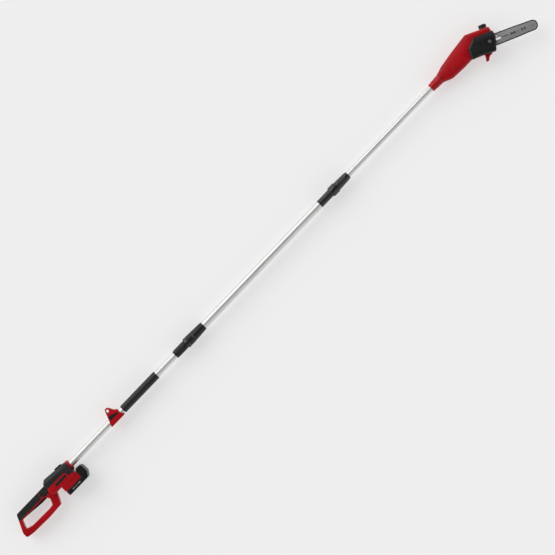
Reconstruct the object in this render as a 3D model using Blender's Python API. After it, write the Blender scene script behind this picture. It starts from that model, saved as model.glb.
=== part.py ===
"""A cordless telescoping pole saw, lying on its left side on the ground.

+X runs along the pole to the saw head, +Y to the tool's top side, away from the battery, and +Z
up, out of the side that carries the guide bar. The origin is on the flat left side of the rear
housing, on the ground, under the pole's axis. All sizes are in metres.
"""
import math

import bmesh
import bpy
from mathutils import Matrix, Vector

for old in list(bpy.data.objects):
    bpy.data.objects.remove(old, do_unlink=True)

# Clearances
GAP = 0.0003            # between pieces that touch
RUNNING = 0.0005        # radial, between a sliding or turning piece and what guides it
ROUND_STEPS = 20        # sides of a turned piece

# Rear housing: side outline and widths
HOUSING_HALF = 0.038    # half the width of the body: its flat sides
GRIP_HALF = 0.0175      # half the width of the hand grip and its loop
SHELL_WALL = 0.0026
SKIN = 0.002            # soft black skin moulded over the shell
BODY_FRONT = 0.060
BODY_REAR = -0.064
BODY_TOP_FRONT = 0.0232
BODY_TOP_REAR = 0.0335
BODY_BOTTOM = -0.0385
SKIN_LINE = -0.004      # lower edge of the black skin on the body
GRIP_TOP = 0.0163
GRIP_UNDER = -0.017
GRIP_REAR = -0.2316
LOOP_REAR = -0.260
LOOP_BOTTOM = -0.087

# Battery and the bay that it slides into
BAY_REAR = -0.018
BAY_FRONT = 0.066
BAY_BOTTOM = -0.065
BAY_WALL = 0.0022
BATTERY_FRONT = 0.100
BATTERY_BOTTOM = -0.086
BATTERY_TRAVEL = 0.092
LATCH_TOP = -0.0262
CELL_RADIUS = 0.009
CELL_LENGTH = 2 * HOUSING_HALF - 0.011
CELL_PITCH = 0.0188
CELLS_IN_ROW = 5
TERMINAL = (-0.010, 0.004)          # block that hangs into the battery's rear end
TERMINAL_HALF = 0.016

# Trigger and lock-off button
TRIGGER_PIVOT = (-0.203, -0.0115)
TRIGGER_FRONT = -0.0935
TRIGGER_DROP = 0.0092   # how far it stands out under the grip at its front
TRIGGER_HALF = 0.0055
TRIGGER_PIN = 0.0015    # radius
BUTTON_PLACE = (-0.082, -0.0125)
BUTTON_LENGTH = 0.019
BUTTON_HEIGHT = 0.007
BUTTON_PROUD = 0.002

# Pole: three nested aluminium tubes
TUBE_WALL = 0.0015
UPPER_TUBE = 0.0115     # outer radii
LOWER_TUBE = 0.0135
MIDDLE_TUBE = 0.0155
LOWER_TUBE_REAR = -0.034
MOUTH_LENGTH = 0.011
MOUTH_SLEEVE = LOWER_TUBE + GAP + 0.003
GRIP_SLEEVE = (0.3715, 0.565)
GRIP_SLEEVE_RADIUS = 0.0172
LOWER_NUT = (0.673, 0.734)
LOWER_CLAMP = (0.737, 0.837)
MIDDLE_EXPOSED = 0.669  # between the two clamps
UPPER_SLEEVE_LENGTH = 0.096
UPPER_NUT_LENGTH = 0.066
UPPER_EXPOSED = 0.478   # from the upper nut to the head's collar
TUBE_OVERLAP = 0.112    # the length that one tube keeps inside the next
NUT_WALL = 0.0014
COLLET_WALL = 0.0014
LOWER_TRAVEL = 0.100
UPPER_TRAVEL = 0.420
LEAD_RADIUS = 0.003
COIL_RADIUS = 0.0105

# Carrying strap's bracket
BRACKET = (0.2915, 0.3655)
BRACKET_WALL = 0.0038
BRACKET_HALF = 0.005
EYE_PLACE = (0.0330, 0.0404)    # from the bracket's rear end, and above the pole's axis
EYE_RADIUS = 0.0065
EYE_LAND = 0.0065

# Saw head
COLLAR_LENGTH = 0.055
COLLAR_TOP = 0.0202
HEAD_TILT = math.radians(-25.0)     # of the guide bar, from the pole
HEAD_REAR_TO_BAR = 0.190            # from the collar's front to the bar's reference point
BAR_DROP = 0.0175                   # of that point, under the pole's axis
HEAD_WALL = 0.0024
SPLIT = GAP / 2                     # half the joint between two shells
VENTS = ((0.0445, -0.014, 0.016), (0.0650, -0.0153, 0.0145), (0.0745, -0.0162, 0.0135))
HEAD_SIDE = 0.054                   # height of the face that carries the bar
COVER_SIDE = 0.076                  # height of the cover's outer face
COVER_WALL = 0.0022
SPROCKET_PLACE = -0.006             # of the drive sprocket's axis, along the bar
CHAIN_PITCH = 0.0093
DRIVE_LINKS = 32
DRIVE_PITCH_RADIUS = 0.0172
NOSE_PITCH_RADIUS = 0.0175
SPROCKET_TEETH = 6
BAR_THICKNESS = 0.0032
BAR_HEIGHT = 0.0588                 # of the bar's middle plane
BAR_TAIL = 0.014
BAR_TAKE_UP = 0.004                 # travel of the bar when the chain is slackened
TAIL_EASE = 0.0013                  # the bar's rear corners clear the chain when it goes back
CHAIN_DEPTH = 0.0053
CHAIN_WIDTH = 0.0058
DRIVE_AXIS = 0.030                  # height of the motor's axis
MOTOR_RADIUS = 0.0175
MOTOR_LENGTH = 0.060
MOTOR_SHAFT = 0.0025                # radius
OUTPUT_SHAFT = 0.005                # radius
PINION_TEETH = 8
CROWN_TEETH = 24
CROWN_RADIUS = 0.024
OIL_NECK = 0.0125
OIL_CAP = 0.0165
OIL_CAP_HEIGHT = 0.018
OIL_AXIS = 0.030                    # height of the filler's axis
NECK = (0.052, 0.050)               # filler: along the bar, and where it meets the tank
BEARING_WALL = 0.004
STUD_PLACE = 0.0528                 # of the cover's stud, along the bar
TENSION_HOLE = (0.045, -0.0125)
SCREW_HEIGHT = BAR_HEIGHT + 0.0085  # of the chain's tension screw

# What follows from those sizes
AXIS = HOUSING_HALF                 # height of the pole's axis over the ground
UPPER_CLAMP = LOWER_CLAMP[1] + MIDDLE_EXPOSED
UPPER_NUT = UPPER_CLAMP + UPPER_SLEEVE_LENGTH + 0.002
UPPER_NUT_FRONT = UPPER_NUT + UPPER_NUT_LENGTH
COLLAR = UPPER_NUT_FRONT + UPPER_EXPOSED
HEAD = COLLAR + COLLAR_LENGTH
BAR_ORIGIN = Vector((HEAD + HEAD_REAR_TO_BAR, -BAR_DROP, 0.0))
MIDDLE_REAR = LOWER_CLAMP[0] + 0.003
MIDDLE_FRONT = UPPER_NUT - 0.004
LOWER_TUBE_FRONT = MIDDLE_REAR + TUBE_OVERLAP
UPPER_TUBE_REAR = MIDDLE_FRONT - TUBE_OVERLAP
UPPER_TUBE_FRONT = HEAD + 0.012
CENTRES = (DRIVE_LINKS * 2 * CHAIN_PITCH - math.pi * (DRIVE_PITCH_RADIUS + NOSE_PITCH_RADIUS)) / 2
NOSE_PLACE = SPROCKET_PLACE + CENTRES
NOSE_RADIUS = NOSE_PITCH_RADIUS - 0.0005
OUTPUT = BAR_ORIGIN + Matrix.Rotation(HEAD_TILT, 3, "Z") @ Vector((SPROCKET_PLACE, 0.0, 0.0))

FINISHES = {
    "red_plastic": ((0.43, 0.010, 0.013), 0.40, 0.0),
    "black_plastic": ((0.022, 0.022, 0.023), 0.50, 0.0),
    "soft_grip": ((0.018, 0.018, 0.019), 0.75, 0.0),
    "foam": ((0.012, 0.012, 0.013), 0.92, 0.0),
    "aluminium": ((0.62, 0.63, 0.64), 0.32, 1.0),
    "steel": ((0.33, 0.34, 0.35), 0.35, 1.0),
    "chain_steel": ((0.10, 0.10, 0.105), 0.45, 1.0),
    "cell_sleeve": ((0.05, 0.25, 0.28), 0.45, 0.0),
    "green_board": ((0.02, 0.16, 0.06), 0.50, 0.0),
    "brass": ((0.60, 0.44, 0.15), 0.35, 1.0),
    "clear_tank": ((0.55, 0.53, 0.46), 0.35, 0.0),
    "grey_label": ((0.09, 0.09, 0.095), 0.40, 0.0),
    "rubber": ((0.015, 0.015, 0.015), 0.85, 0.0),
}


def finish_of(name, kind):
    """The piece's own material."""
    colour, roughness, metallic = FINISHES[kind]
    material = bpy.data.materials.new(name + "_finish")
    material.use_nodes = True
    shader = material.node_tree.nodes["Principled BSDF"]
    shader.inputs["Base Color"].default_value = (*colour, 1.0)
    shader.inputs["Roughness"].default_value = roughness
    shader.inputs["Metallic"].default_value = metallic
    return material


def piece(name, bm, kind, place=(0.0, 0.0, 0.0), turn=0.0):
    """Makes a named object from a bmesh, at a place and turned about Z."""
    bmesh.ops.recalc_face_normals(bm, faces=bm.faces[:])
    if bm.calc_volume(signed=True) < 0.0:
        bmesh.ops.reverse_faces(bm, faces=bm.faces[:])
    mesh = bpy.data.meshes.new(name)
    bm.to_mesh(mesh)
    bm.free()
    mesh.shade_smooth()
    mesh.set_sharp_from_angle(angle=math.radians(35))
    thing = bpy.data.objects.new(name, mesh)
    thing.location = place
    thing.rotation_euler.z = turn
    if kind:
        mesh.materials.append(finish_of(name, kind))
    bpy.context.scene.collection.objects.link(thing)
    return thing


def shape(target, bm, operation="DIFFERENCE", place=(0.0, 0.0, 0.0), turn=0.0):
    """Cuts, joins or trims a piece with a hidden tool shape."""
    tool = piece("{}_tool_{}".format(target.name, len(target.modifiers)), bm, None, place, turn)
    tool.hide_render = True
    tool.display_type = "WIRE"
    change = target.modifiers.new(tool.name, "BOOLEAN")
    change.operation = operation
    change.solver = "EXACT"
    change.object = tool
    return tool


def rounded(corners, steps=3):
    """An outline whose corners (x, y, radius) are turned into arcs; (x, y) stays sharp."""
    points = []
    for i, corner in enumerate(corners):
        here = Vector(corner[:2])
        if len(corner) == 2:
            points.append(here)
            continue
        before = (Vector(corners[i - 1][:2]) - here).normalized()
        after = (Vector(corners[(i + 1) % len(corners)][:2]) - here).normalized()
        half = before.angle(after) / 2
        reach = corner[2] / math.tan(half)
        centre = here + (before + after).normalized() * (corner[2] / math.sin(half))
        start = here + before * reach - centre
        sweep = start.angle_signed(here + after * reach - centre)
        for k in range(steps + 1):
            points.append(centre + Matrix.Rotation(-sweep * k / steps, 2) @ start)
    return points


def inset(points, distance):
    """The outline moved inwards by a distance, or outwards by a negative one."""
    area = sum(a.cross(b) for a, b in zip(points, points[1:] + points[:1]))
    side = 1.0 if area > 0 else -1.0
    moved = []
    for i, here in enumerate(points):
        before = (here - points[i - 1]).normalized()
        after = (points[(i + 1) % len(points)] - here).normalized()
        normal_a = Vector((-before.y, before.x)) * side
        normal_b = Vector((-after.y, after.x)) * side
        mitre = (normal_a + normal_b).normalized()
        moved.append(here + mitre * (distance / max(mitre.dot(normal_a), 0.3)))
    return moved


def slab(points, low, high, rim_low=0.0, rim_high=0.0, steps=2):
    """An outline extruded from one height to another, its rims rounded where asked."""
    bm = bmesh.new()
    base = bm.faces.new([bm.verts.new((p[0], p[1], low)) for p in points])
    grown = bmesh.ops.extrude_face_region(bm, geom=[base])["geom"]
    verts = [v for v in grown if isinstance(v, bmesh.types.BMVert)]
    bmesh.ops.translate(bm, verts=verts, vec=(0.0, 0.0, high - low))
    for height, rim in ((low, rim_low), (high, rim_high)):
        if rim:
            edges = [e for e in bm.edges if all(abs(v.co.z - height) < 1e-6 for v in e.verts)]
            bmesh.ops.bevel(bm, geom=edges, offset=rim, offset_type="OFFSET", segments=steps,
                            profile=0.5, affect="EDGES", clamp_overlap=True, material=-1)
    return bm


def block(low, high):
    """A box between two corners."""
    return slab([(low[0], low[1]), (high[0], low[1]), (high[0], high[1]), (low[0], high[1])],
                low[2], high[2])


def turned(profile, hollow=True, steps=ROUND_STEPS):
    """A profile of (along, radius) spun about X. A hollow one is a closed ring of points."""
    bm = bmesh.new()
    verts = [bm.verts.new((along, radius, 0.0)) for along, radius in profile]
    pairs = list(zip(verts, verts[1:])) + ([(verts[-1], verts[0])] if hollow else [])
    edges = [bm.edges.new(pair) for pair in pairs]
    bmesh.ops.spin(bm, geom=verts + edges, axis=(1.0, 0.0, 0.0), cent=(0.0, 0.0, 0.0),
                   angle=2 * math.pi, steps=steps, use_merge=True)
    bmesh.ops.remove_doubles(bm, verts=bm.verts[:], dist=1e-7)
    return bm


def upright(bm, height=0.0):
    """Stands a turned shape up, so that its axis is Z."""
    bm.transform(Matrix.Translation((0.0, 0.0, height)) @ Matrix.Rotation(-math.pi / 2, 4, "Y"))
    return bm


def disc(radius, low, high, steps=ROUND_STEPS):
    """A plain cylinder about Z."""
    return slab([(radius * math.cos(2 * math.pi * k / steps),
                  radius * math.sin(2 * math.pi * k / steps)) for k in range(steps)], low, high)


def ring(name, along, inner, outer, kind, edge=0.0002):
    """A plain sleeve about the pole's axis, its outer rims chamfered."""
    rear, front = along
    profile = [(0.0, inner), (front - rear, inner), (front - rear, outer - edge),
               (front - rear - edge, outer), (edge, outer), (0.0, outer - edge)]
    return piece(name, turned(profile), kind, (rear, 0.0, AXIS))


# ---- Pole -------------------------------------------------------------------------------------

def tubes():
    """The three nested tubes, with the guide bush on the upper one's rear end."""
    ring("tube_lower", (LOWER_TUBE_REAR, LOWER_TUBE_FRONT), LOWER_TUBE - TUBE_WALL, LOWER_TUBE,
         "aluminium")
    ring("tube_middle", (MIDDLE_REAR, MIDDLE_FRONT), MIDDLE_TUBE - TUBE_WALL, MIDDLE_TUBE,
         "aluminium")
    ring("tube_upper", (UPPER_TUBE_REAR, UPPER_TUBE_FRONT), UPPER_TUBE - TUBE_WALL, UPPER_TUBE,
         "aluminium")
    ring("guide_bush", (UPPER_TUBE_REAR + 0.004, UPPER_TUBE_REAR + 0.024), UPPER_TUBE + GAP,
         MIDDLE_TUBE - TUBE_WALL - RUNNING, "black_plastic")
    ring("front_grip", GRIP_SLEEVE, LOWER_TUBE + GAP, GRIP_SLEEVE_RADIUS, "foam", 0.0012)


def clamp(prefix, body_span, nut_span, inner_tube, nut_radii, body_profile):
    """A twist lock: a body fixed on the middle tube, a nut that turns, and a split collet."""
    bore = MIDDLE_TUBE + GAP
    rear, front = body_span
    profile = [(0.0, bore), (front - rear, bore)] + body_profile
    piece(prefix + "_clamp_body", turned(profile), "black_plastic", (rear, 0.0, AXIS))
    nut_rear, nut_front = nut_span
    length = nut_front - nut_rear
    bore = inner_tube + RUNNING + COLLET_WALL + 2 * GAP
    profile = [(0.0, bore), (length, bore), (length, nut_radii[1] - 0.001),
               (length - 0.001, nut_radii[1]), (0.001, nut_radii[0]), (0.0, nut_radii[0] - 0.001)]
    piece(prefix + "_lock_nut", turned(profile), "black_plastic", (nut_rear, 0.0, AXIS))
    inner = inner_tube + RUNNING
    collet = ring(prefix + "_collet", (nut_rear + 0.004, nut_front - 0.004), inner,
                  inner + COLLET_WALL, "black_plastic")
    slot = block((-0.001, inner - 0.001, -0.0008), (length, inner + COLLET_WALL + 0.001, 0.0008))
    shape(collet, slot, place=(nut_rear, 0.0, AXIS))


def clamps():
    """The lower clamp tapers forward; the upper one is ribbed behind its swelling."""
    length = LOWER_CLAMP[1] - LOWER_CLAMP[0]
    lower_nut = LOWER_TUBE + RUNNING + COLLET_WALL + 2 * GAP + NUT_WALL
    tube = MIDDLE_TUBE + GAP
    clamp("lower", LOWER_CLAMP, LOWER_NUT, LOWER_TUBE, (lower_nut, lower_nut + 0.0005),
          [(length, tube + 0.0012), (length - 0.003, tube + 0.0022), (0.006, tube + 0.0062),
           (0.002, tube + 0.0062), (0.0, tube + 0.0045)])
    upper_nut = UPPER_TUBE + RUNNING + COLLET_WALL + 2 * GAP + NUT_WALL
    length = UPPER_SLEEVE_LENGTH
    clamp("upper", (UPPER_CLAMP, UPPER_CLAMP + length), (UPPER_NUT, UPPER_NUT_FRONT), UPPER_TUBE,
          (upper_nut + 0.0038, upper_nut + 0.0012),
          [(length, tube + 0.0040), (length - 0.003, tube + 0.0062), (length - 0.030, tube + 0.0062),
           (length - 0.036, tube + 0.0014), (0.002, tube + 0.0014), (0.0, tube + 0.0006)])


def leads():
    """The motor's lead: a run in each end tube and the coiled stretch between them."""
    for name, rear, front, radius in (
            ("lead_lower", LOWER_TUBE_REAR - 0.004, LOWER_TUBE_FRONT - 0.005, LEAD_RADIUS),
            ("coiled_lead", LOWER_TUBE_FRONT + LOWER_TRAVEL + 0.003, UPPER_TUBE_REAR - 0.003,
             COIL_RADIUS),
            ("lead_upper", UPPER_TUBE_REAR + 0.003, UPPER_TUBE_FRONT + 0.003, LEAD_RADIUS)):
        profile = [(0.0, 0.0), (front - rear, 0.0), (front - rear, radius), (0.0, radius)]
        bm = turned([profile[0], profile[3], profile[2], profile[1]], hollow=False, steps=12)
        piece(name, bm, "rubber", (rear, 0.0, AXIS))


def strap_bracket():
    """A band on the lower tube with a flat fin that carries the strap's eye, and its screw."""
    rear, front = BRACKET
    length = front - rear
    band = LOWER_TUBE + RUNNING + BRACKET_WALL
    bracket = ring("strap_bracket", BRACKET, LOWER_TUBE + RUNNING, band, "red_plastic", 0.001)
    eye_x, eye_y = EYE_PLACE
    land = EYE_RADIUS + EYE_LAND
    root = band - BRACKET_WALL * 0.6
    fin = rounded([(0.002, root), (length - 0.002, root), (length - 0.008, root + 0.006),
                   (eye_x + land + 0.003, eye_y - 0.006, 0.004), (eye_x + land * 0.8, eye_y + land, 0.005),
                   (eye_x - land * 0.8, eye_y + land, 0.005)])
    shape(bracket, slab(fin, -BRACKET_HALF, BRACKET_HALF, 0.0012, 0.0012, 1), "UNION",
          (rear, 0.0, AXIS))
    shape(bracket, disc(EYE_RADIUS, -2 * BRACKET_HALF, 2 * BRACKET_HALF), place=(
        rear + eye_x, eye_y, AXIS))
    screw_y = band + 0.0065
    shape(bracket, disc(0.0026, -2 * BRACKET_HALF, 2 * BRACKET_HALF, 12),
          place=(rear + eye_x, screw_y, AXIS))
    head = [(-BRACKET_HALF - 0.003, 0.0), (-BRACKET_HALF - 0.003, 0.0045),
            (-BRACKET_HALF - GAP, 0.0045), (-BRACKET_HALF - GAP, 0.0022),
            (BRACKET_HALF + GAP, 0.0022), (BRACKET_HALF + GAP, 0.006),
            (BRACKET_HALF + 0.004, 0.006), (BRACKET_HALF + 0.004, 0.0)]
    piece("strap_screw", upright(turned(head, hollow=False, steps=12)), "black_plastic",
          (rear + eye_x, screw_y, AXIS))


# ---- Rear housing -----------------------------------------------------------------------------

def body_outline():
    """Side outline of the wide body, from its front bottom corner round."""
    return rounded([(BODY_FRONT, BODY_BOTTOM + 0.0125), (BODY_FRONT, BODY_TOP_FRONT),
                    (BODY_REAR + 0.017, BODY_TOP_REAR, 0.008), (BODY_REAR, 0.020, 0.006),
                    (BODY_REAR, BODY_BOTTOM, 0.006), (BAY_REAR, BODY_BOTTOM),
                    (BODY_FRONT - 0.004, BODY_BOTTOM)], 2)


def loop_outline():
    """Outside of the hand grip and the closed loop behind the battery."""
    return rounded([(BODY_REAR + 0.030, GRIP_TOP), (GRIP_REAR + 0.008, GRIP_TOP, 0.007),
                    (GRIP_REAR, -0.0016, 0.02), (LOOP_REAR + 0.001, -0.054, 0.02),
                    (LOOP_REAR, -0.078, 0.008), (-0.225, LOOP_BOTTOM + 0.003, 0.02),
                    (-0.141, LOOP_BOTTOM, 0.05), (-0.071, LOOP_BOTTOM + 0.0035, 0.006),
                    (BODY_REAR + 0.018, -0.036), (BODY_REAR + 0.030, -0.030)], 3)


def hand_opening():
    """The opening that the hand goes through."""
    return rounded([(-0.224, GRIP_UNDER, 0.006), (-0.239, -0.052, 0.008), (-0.213, -0.0600, 0.02),
                    (-0.115, -0.0625, 0.02), (-0.095, -0.0600, 0.004), (-0.084, -0.037, 0.006),
                    (-0.0925, GRIP_UNDER - 0.004, 0.003), (-0.097, GRIP_UNDER, 0.002)], 3)


def grip_skin_line():
    """Region of the black skin on the grip: its lower edge and far beyond its top."""
    return [Vector(p) for p in ((-0.109, -0.0125), (-0.098, 0.050), (-0.300, 0.050),
                                (-0.300, -0.0020), (GRIP_REAR + 0.012, -0.0125))]


def body_skin_line():
    """Region of the black skin on the body."""
    return [Vector(p) for p in ((0.0314, SKIN_LINE), (0.0364, -0.0263), (0.100, -0.0263),
                                (0.100, 0.060), (-0.200, 0.060), (-0.200, SKIN_LINE + 0.0025))]


def half_shell(name, low, high):
    """One red clamshell: body, loop and battery bay, hollow inside."""
    outer_low = abs(low - AXIS) > abs(high - AXIS)

    def part(points, half, rim, steps=2):
        ends = (AXIS - half, high) if outer_low else (low, AXIS + half)
        return slab(points, *ends, rim if outer_low else 0.0, 0.0 if outer_low else rim, steps)

    body = body_outline()
    core = SKIN + GAP
    shell = piece(name, part(body, HOUSING_HALF, 0.007), "red_plastic")
    clear = [p + Vector((0.0, -GAP)) for p in body_skin_line()]
    shape(shell, slab(clear, -0.01, 2 * AXIS + 0.01))
    shape(shell, part(inset(body, core), HOUSING_HALF - core, 0.005), "UNION")
    loop = piece(name + "_loop", part(loop_outline(), GRIP_HALF, 0.005), None)
    clear = [p + Vector((0.0, -GAP)) for p in grip_skin_line()]
    shape(loop, slab(inset(clear, -GAP), -0.01, 2 * AXIS + 0.01))
    shape(loop, part(inset(loop_outline(), core), GRIP_HALF - core, 0.0035), "UNION")
    shape(loop, slab(hand_opening(), -0.01, 2 * AXIS + 0.01))
    hollow_loop = piece(name + "_loop_hollow", slab(inset(loop_outline(), 0.005),
                                                    AXIS - GRIP_HALF + 0.005,
                                                    AXIS + GRIP_HALF - 0.005), None)
    shape(hollow_loop, slab(inset(hand_opening(), -0.0026), -0.01, 2 * AXIS + 0.01))
    hollow_loop.hide_render = True
    hollow_loop.display_type = "WIRE"
    loop.hide_render = True
    loop.display_type = "WIRE"
    for tool, operation in ((loop, "UNION"), (hollow_loop, "DIFFERENCE")):
        change = shell.modifiers.new(tool.name, "BOOLEAN")
        change.operation = operation
        change.solver = "EXACT"
        change.object = tool
        if tool is loop:
            bay = rounded([(BAY_REAR, BODY_BOTTOM + 0.002), (BAY_REAR, BAY_BOTTOM, 0.004),
                           (BAY_FRONT, BAY_BOTTOM), (BAY_FRONT, BODY_BOTTOM + 0.002)], 2)
            shape(shell, part(bay, HOUSING_HALF - 0.0001, 0.001, 1), "UNION")
    wall = SHELL_WALL + core
    shape(shell, slab(inset(body, wall), AXIS - HOUSING_HALF + wall, AXIS + HOUSING_HALF - wall))
    shape(shell, block((BAY_REAR + 0.003, BAY_BOTTOM - 0.01, AXIS - HOUSING_HALF + BAY_WALL),
                       (BAY_FRONT + 0.01, BODY_BOTTOM - 0.0015, AXIS + HOUSING_HALF - BAY_WALL)))
    # Way through for the wires between grip and body, and the terminal block's window
    shape(shell, block((BODY_REAR - 0.02, -0.010, AXIS - 0.010), (BODY_REAR + 0.02, 0.008, AXIS + 0.010)))
    shape(shell, block((TERMINAL[0] - GAP, BODY_BOTTOM - 0.004, AXIS - TERMINAL_HALF - GAP),
                       (TERMINAL[1] + GAP, BODY_BOTTOM + 0.010, AXIS + TERMINAL_HALF + GAP)))
    # Slot for the trigger, hole for the lock-off button and seat for the mouth ring
    shape(shell, block((TRIGGER_PIVOT[0] - 0.006, GRIP_UNDER - 0.02, AXIS - TRIGGER_HALF - RUNNING),
                       (TRIGGER_FRONT + 0.0015, -0.010, AXIS + TRIGGER_HALF + RUNNING)))
    shape(shell, slab(button_outline(-GAP), -0.01, 2 * AXIS + 0.01))
    seat = MOUTH_SLEEVE + GAP
    shape(shell, turned([(0.0, 0.0), (0.0, seat), (0.06, seat), (0.06, 0.0)], hollow=False),
          place=(BODY_FRONT - 0.03 - GAP, 0.0, AXIS))
    return shell


def button_outline(shrink):
    """Side outline of the lock-off button."""
    x, y = BUTTON_PLACE
    half, high = BUTTON_LENGTH / 2, BUTTON_HEIGHT / 2
    return inset(rounded([(x - half, y - high, 0.002), (x + half, y - high, 0.002),
                          (x + half, y + high, 0.002), (x - half, y + high, 0.002)], 2), shrink)


def skin(name, points, region, half, rim):
    """A soft skin over one region of a slab, open underneath and with a shell's core inside."""
    cover = piece(name, slab(points, AXIS - half, AXIS + half, rim, rim), "soft_grip")
    shape(cover, slab(region, -0.01, 2 * AXIS + 0.01), "INTERSECT")
    inner = [p.copy() for p in inset(points, SKIN)]
    shape(cover, slab(inner, AXIS - half + SKIN, AXIS + half - SKIN, rim - SKIN, rim - SKIN))
    return cover


def rear_unit():
    """Shells, skins and what is screwed into them."""
    half_shell("housing_left", 0.0, AXIS - GAP / 2)
    half_shell("housing_right", AXIS + GAP / 2, 2 * AXIS)
    body = skin("body_skin", body_outline(), body_skin_line(), HOUSING_HALF, 0.007)
    seat = MOUTH_SLEEVE + GAP
    shape(body, turned([(0.0, 0.0), (0.0, seat), (0.06, seat), (0.06, 0.0)], hollow=False),
          place=(BODY_FRONT - 0.03, 0.0, AXIS))
    shape(body, slab(inset(loop_outline(), -2 * GAP), AXIS - GRIP_HALF - GAP,
                     AXIS + GRIP_HALF + GAP))
    grip = skin("grip_skin", loop_outline(), grip_skin_line(), GRIP_HALF, 0.005)
    shape(grip, slab(button_outline(-GAP), -0.01, 2 * AXIS + 0.01))
    flange = BODY_TOP_FRONT
    profile = [(-0.030, LOWER_TUBE + GAP), (MOUTH_LENGTH, LOWER_TUBE + GAP),
               (MOUTH_LENGTH, flange - 0.002), (MOUTH_LENGTH - 0.002, flange),
               (0.001 + GAP, flange), (GAP, flange - 0.001), (GAP, MOUTH_SLEEVE),
               (-0.030, MOUTH_SLEEVE)]
    piece("mouth_ring", turned(profile), "red_plastic", (BODY_FRONT, 0.0, AXIS))
    side = 2 * AXIS
    plate = rounded([(-0.0295, -0.0225, 0.004), (0.0285, -0.0225, 0.004),
                     (0.0285, -0.0115, 0.004), (-0.0295, -0.0115, 0.004)])
    pocket = inset(plate, -GAP)
    shape(bpy.data.objects["housing_right"], slab(pocket, side - 0.0012, side + 0.01))
    piece("label_plate", slab(plate, side - 0.0012 + GAP, side), "grey_label")
    top = BODY_TOP_FRONT + 0.002
    pad = [(0.0094, top), (0.0415, top - 0.0006), (0.0415, top + 0.0045), (0.0094, top + 0.0075)]
    top_pad = piece("top_pad", slab(rounded([(*p, 0.001) for p in pad], 1), AXIS - 0.016,
                                    AXIS + 0.016, 0.001, 0.001, 1), "black_plastic")
    shape(top_pad, slab(inset(body_outline(), -GAP), -0.01, side + 0.01))
    trigger_and_switch()
    reach = GRIP_HALF + BUTTON_PROUD
    piece("lock_off_button", slab(button_outline(0.0), AXIS - reach, AXIS + reach, 0.0008, 0.0008, 1),
          "black_plastic")
    piece("control_board", block((-0.046, -0.0265, AXIS - 0.028), (0.048, -0.0245, AXIS + 0.028)),
          "green_board")
    terminal = piece("terminal_block", block((TERMINAL[0], BODY_BOTTOM - 0.0078, AXIS - TERMINAL_HALF),
                                             (TERMINAL[1], -0.0275, AXIS + TERMINAL_HALF)),
                     "black_plastic")
    for side_of in (-1, 0, 1):
        blade = block((TERMINAL[1] - 0.001, BODY_BOTTOM - 0.0070, AXIS + side_of * 0.010 - 0.0005),
                      (TERMINAL[1] + 0.007, BODY_BOTTOM - 0.0030, AXIS + side_of * 0.010 + 0.0005))
        shape(terminal, blade, "UNION")


def trigger_and_switch():
    """A long trigger hinged at its rear end, the pin it turns on, and the switch above it."""
    px, py = TRIGGER_PIVOT
    front = TRIGGER_FRONT - px
    under = GRIP_UNDER - py
    outline = rounded([(-0.004, under - 0.0005, 0.002), (front, under - TRIGGER_DROP, 0.002),
                       (front + 0.0005, under + 0.001, 0.001), (front - 0.012, under + 0.0035),
                       (0.006, 0.004, 0.002), (-0.004, 0.004, 0.002)], 2)
    trigger = piece("trigger", slab(outline, -TRIGGER_HALF, TRIGGER_HALF, 0.0012, 0.0012, 1),
                    "black_plastic", (px, py, AXIS))
    shape(trigger, disc(TRIGGER_PIN + 0.0002, -0.02, 0.02, 12), place=(px, py, AXIS))
    reach = GRIP_HALF - SKIN - GAP - 0.0035
    piece("trigger_pin", disc(TRIGGER_PIN, -reach, reach, 12), "steel", (px, py, AXIS))
    for name in ("housing_left", "housing_right"):
        shape(bpy.data.objects[name], disc(TRIGGER_PIN + GAP, -reach - GAP, reach + GAP, 12),
              place=(px, py, AXIS))
    piece("switch_module", block((-0.135, 0.0, AXIS - 0.008), (-0.112, 0.0095, AXIS + 0.008)),
          "black_plastic")


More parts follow.
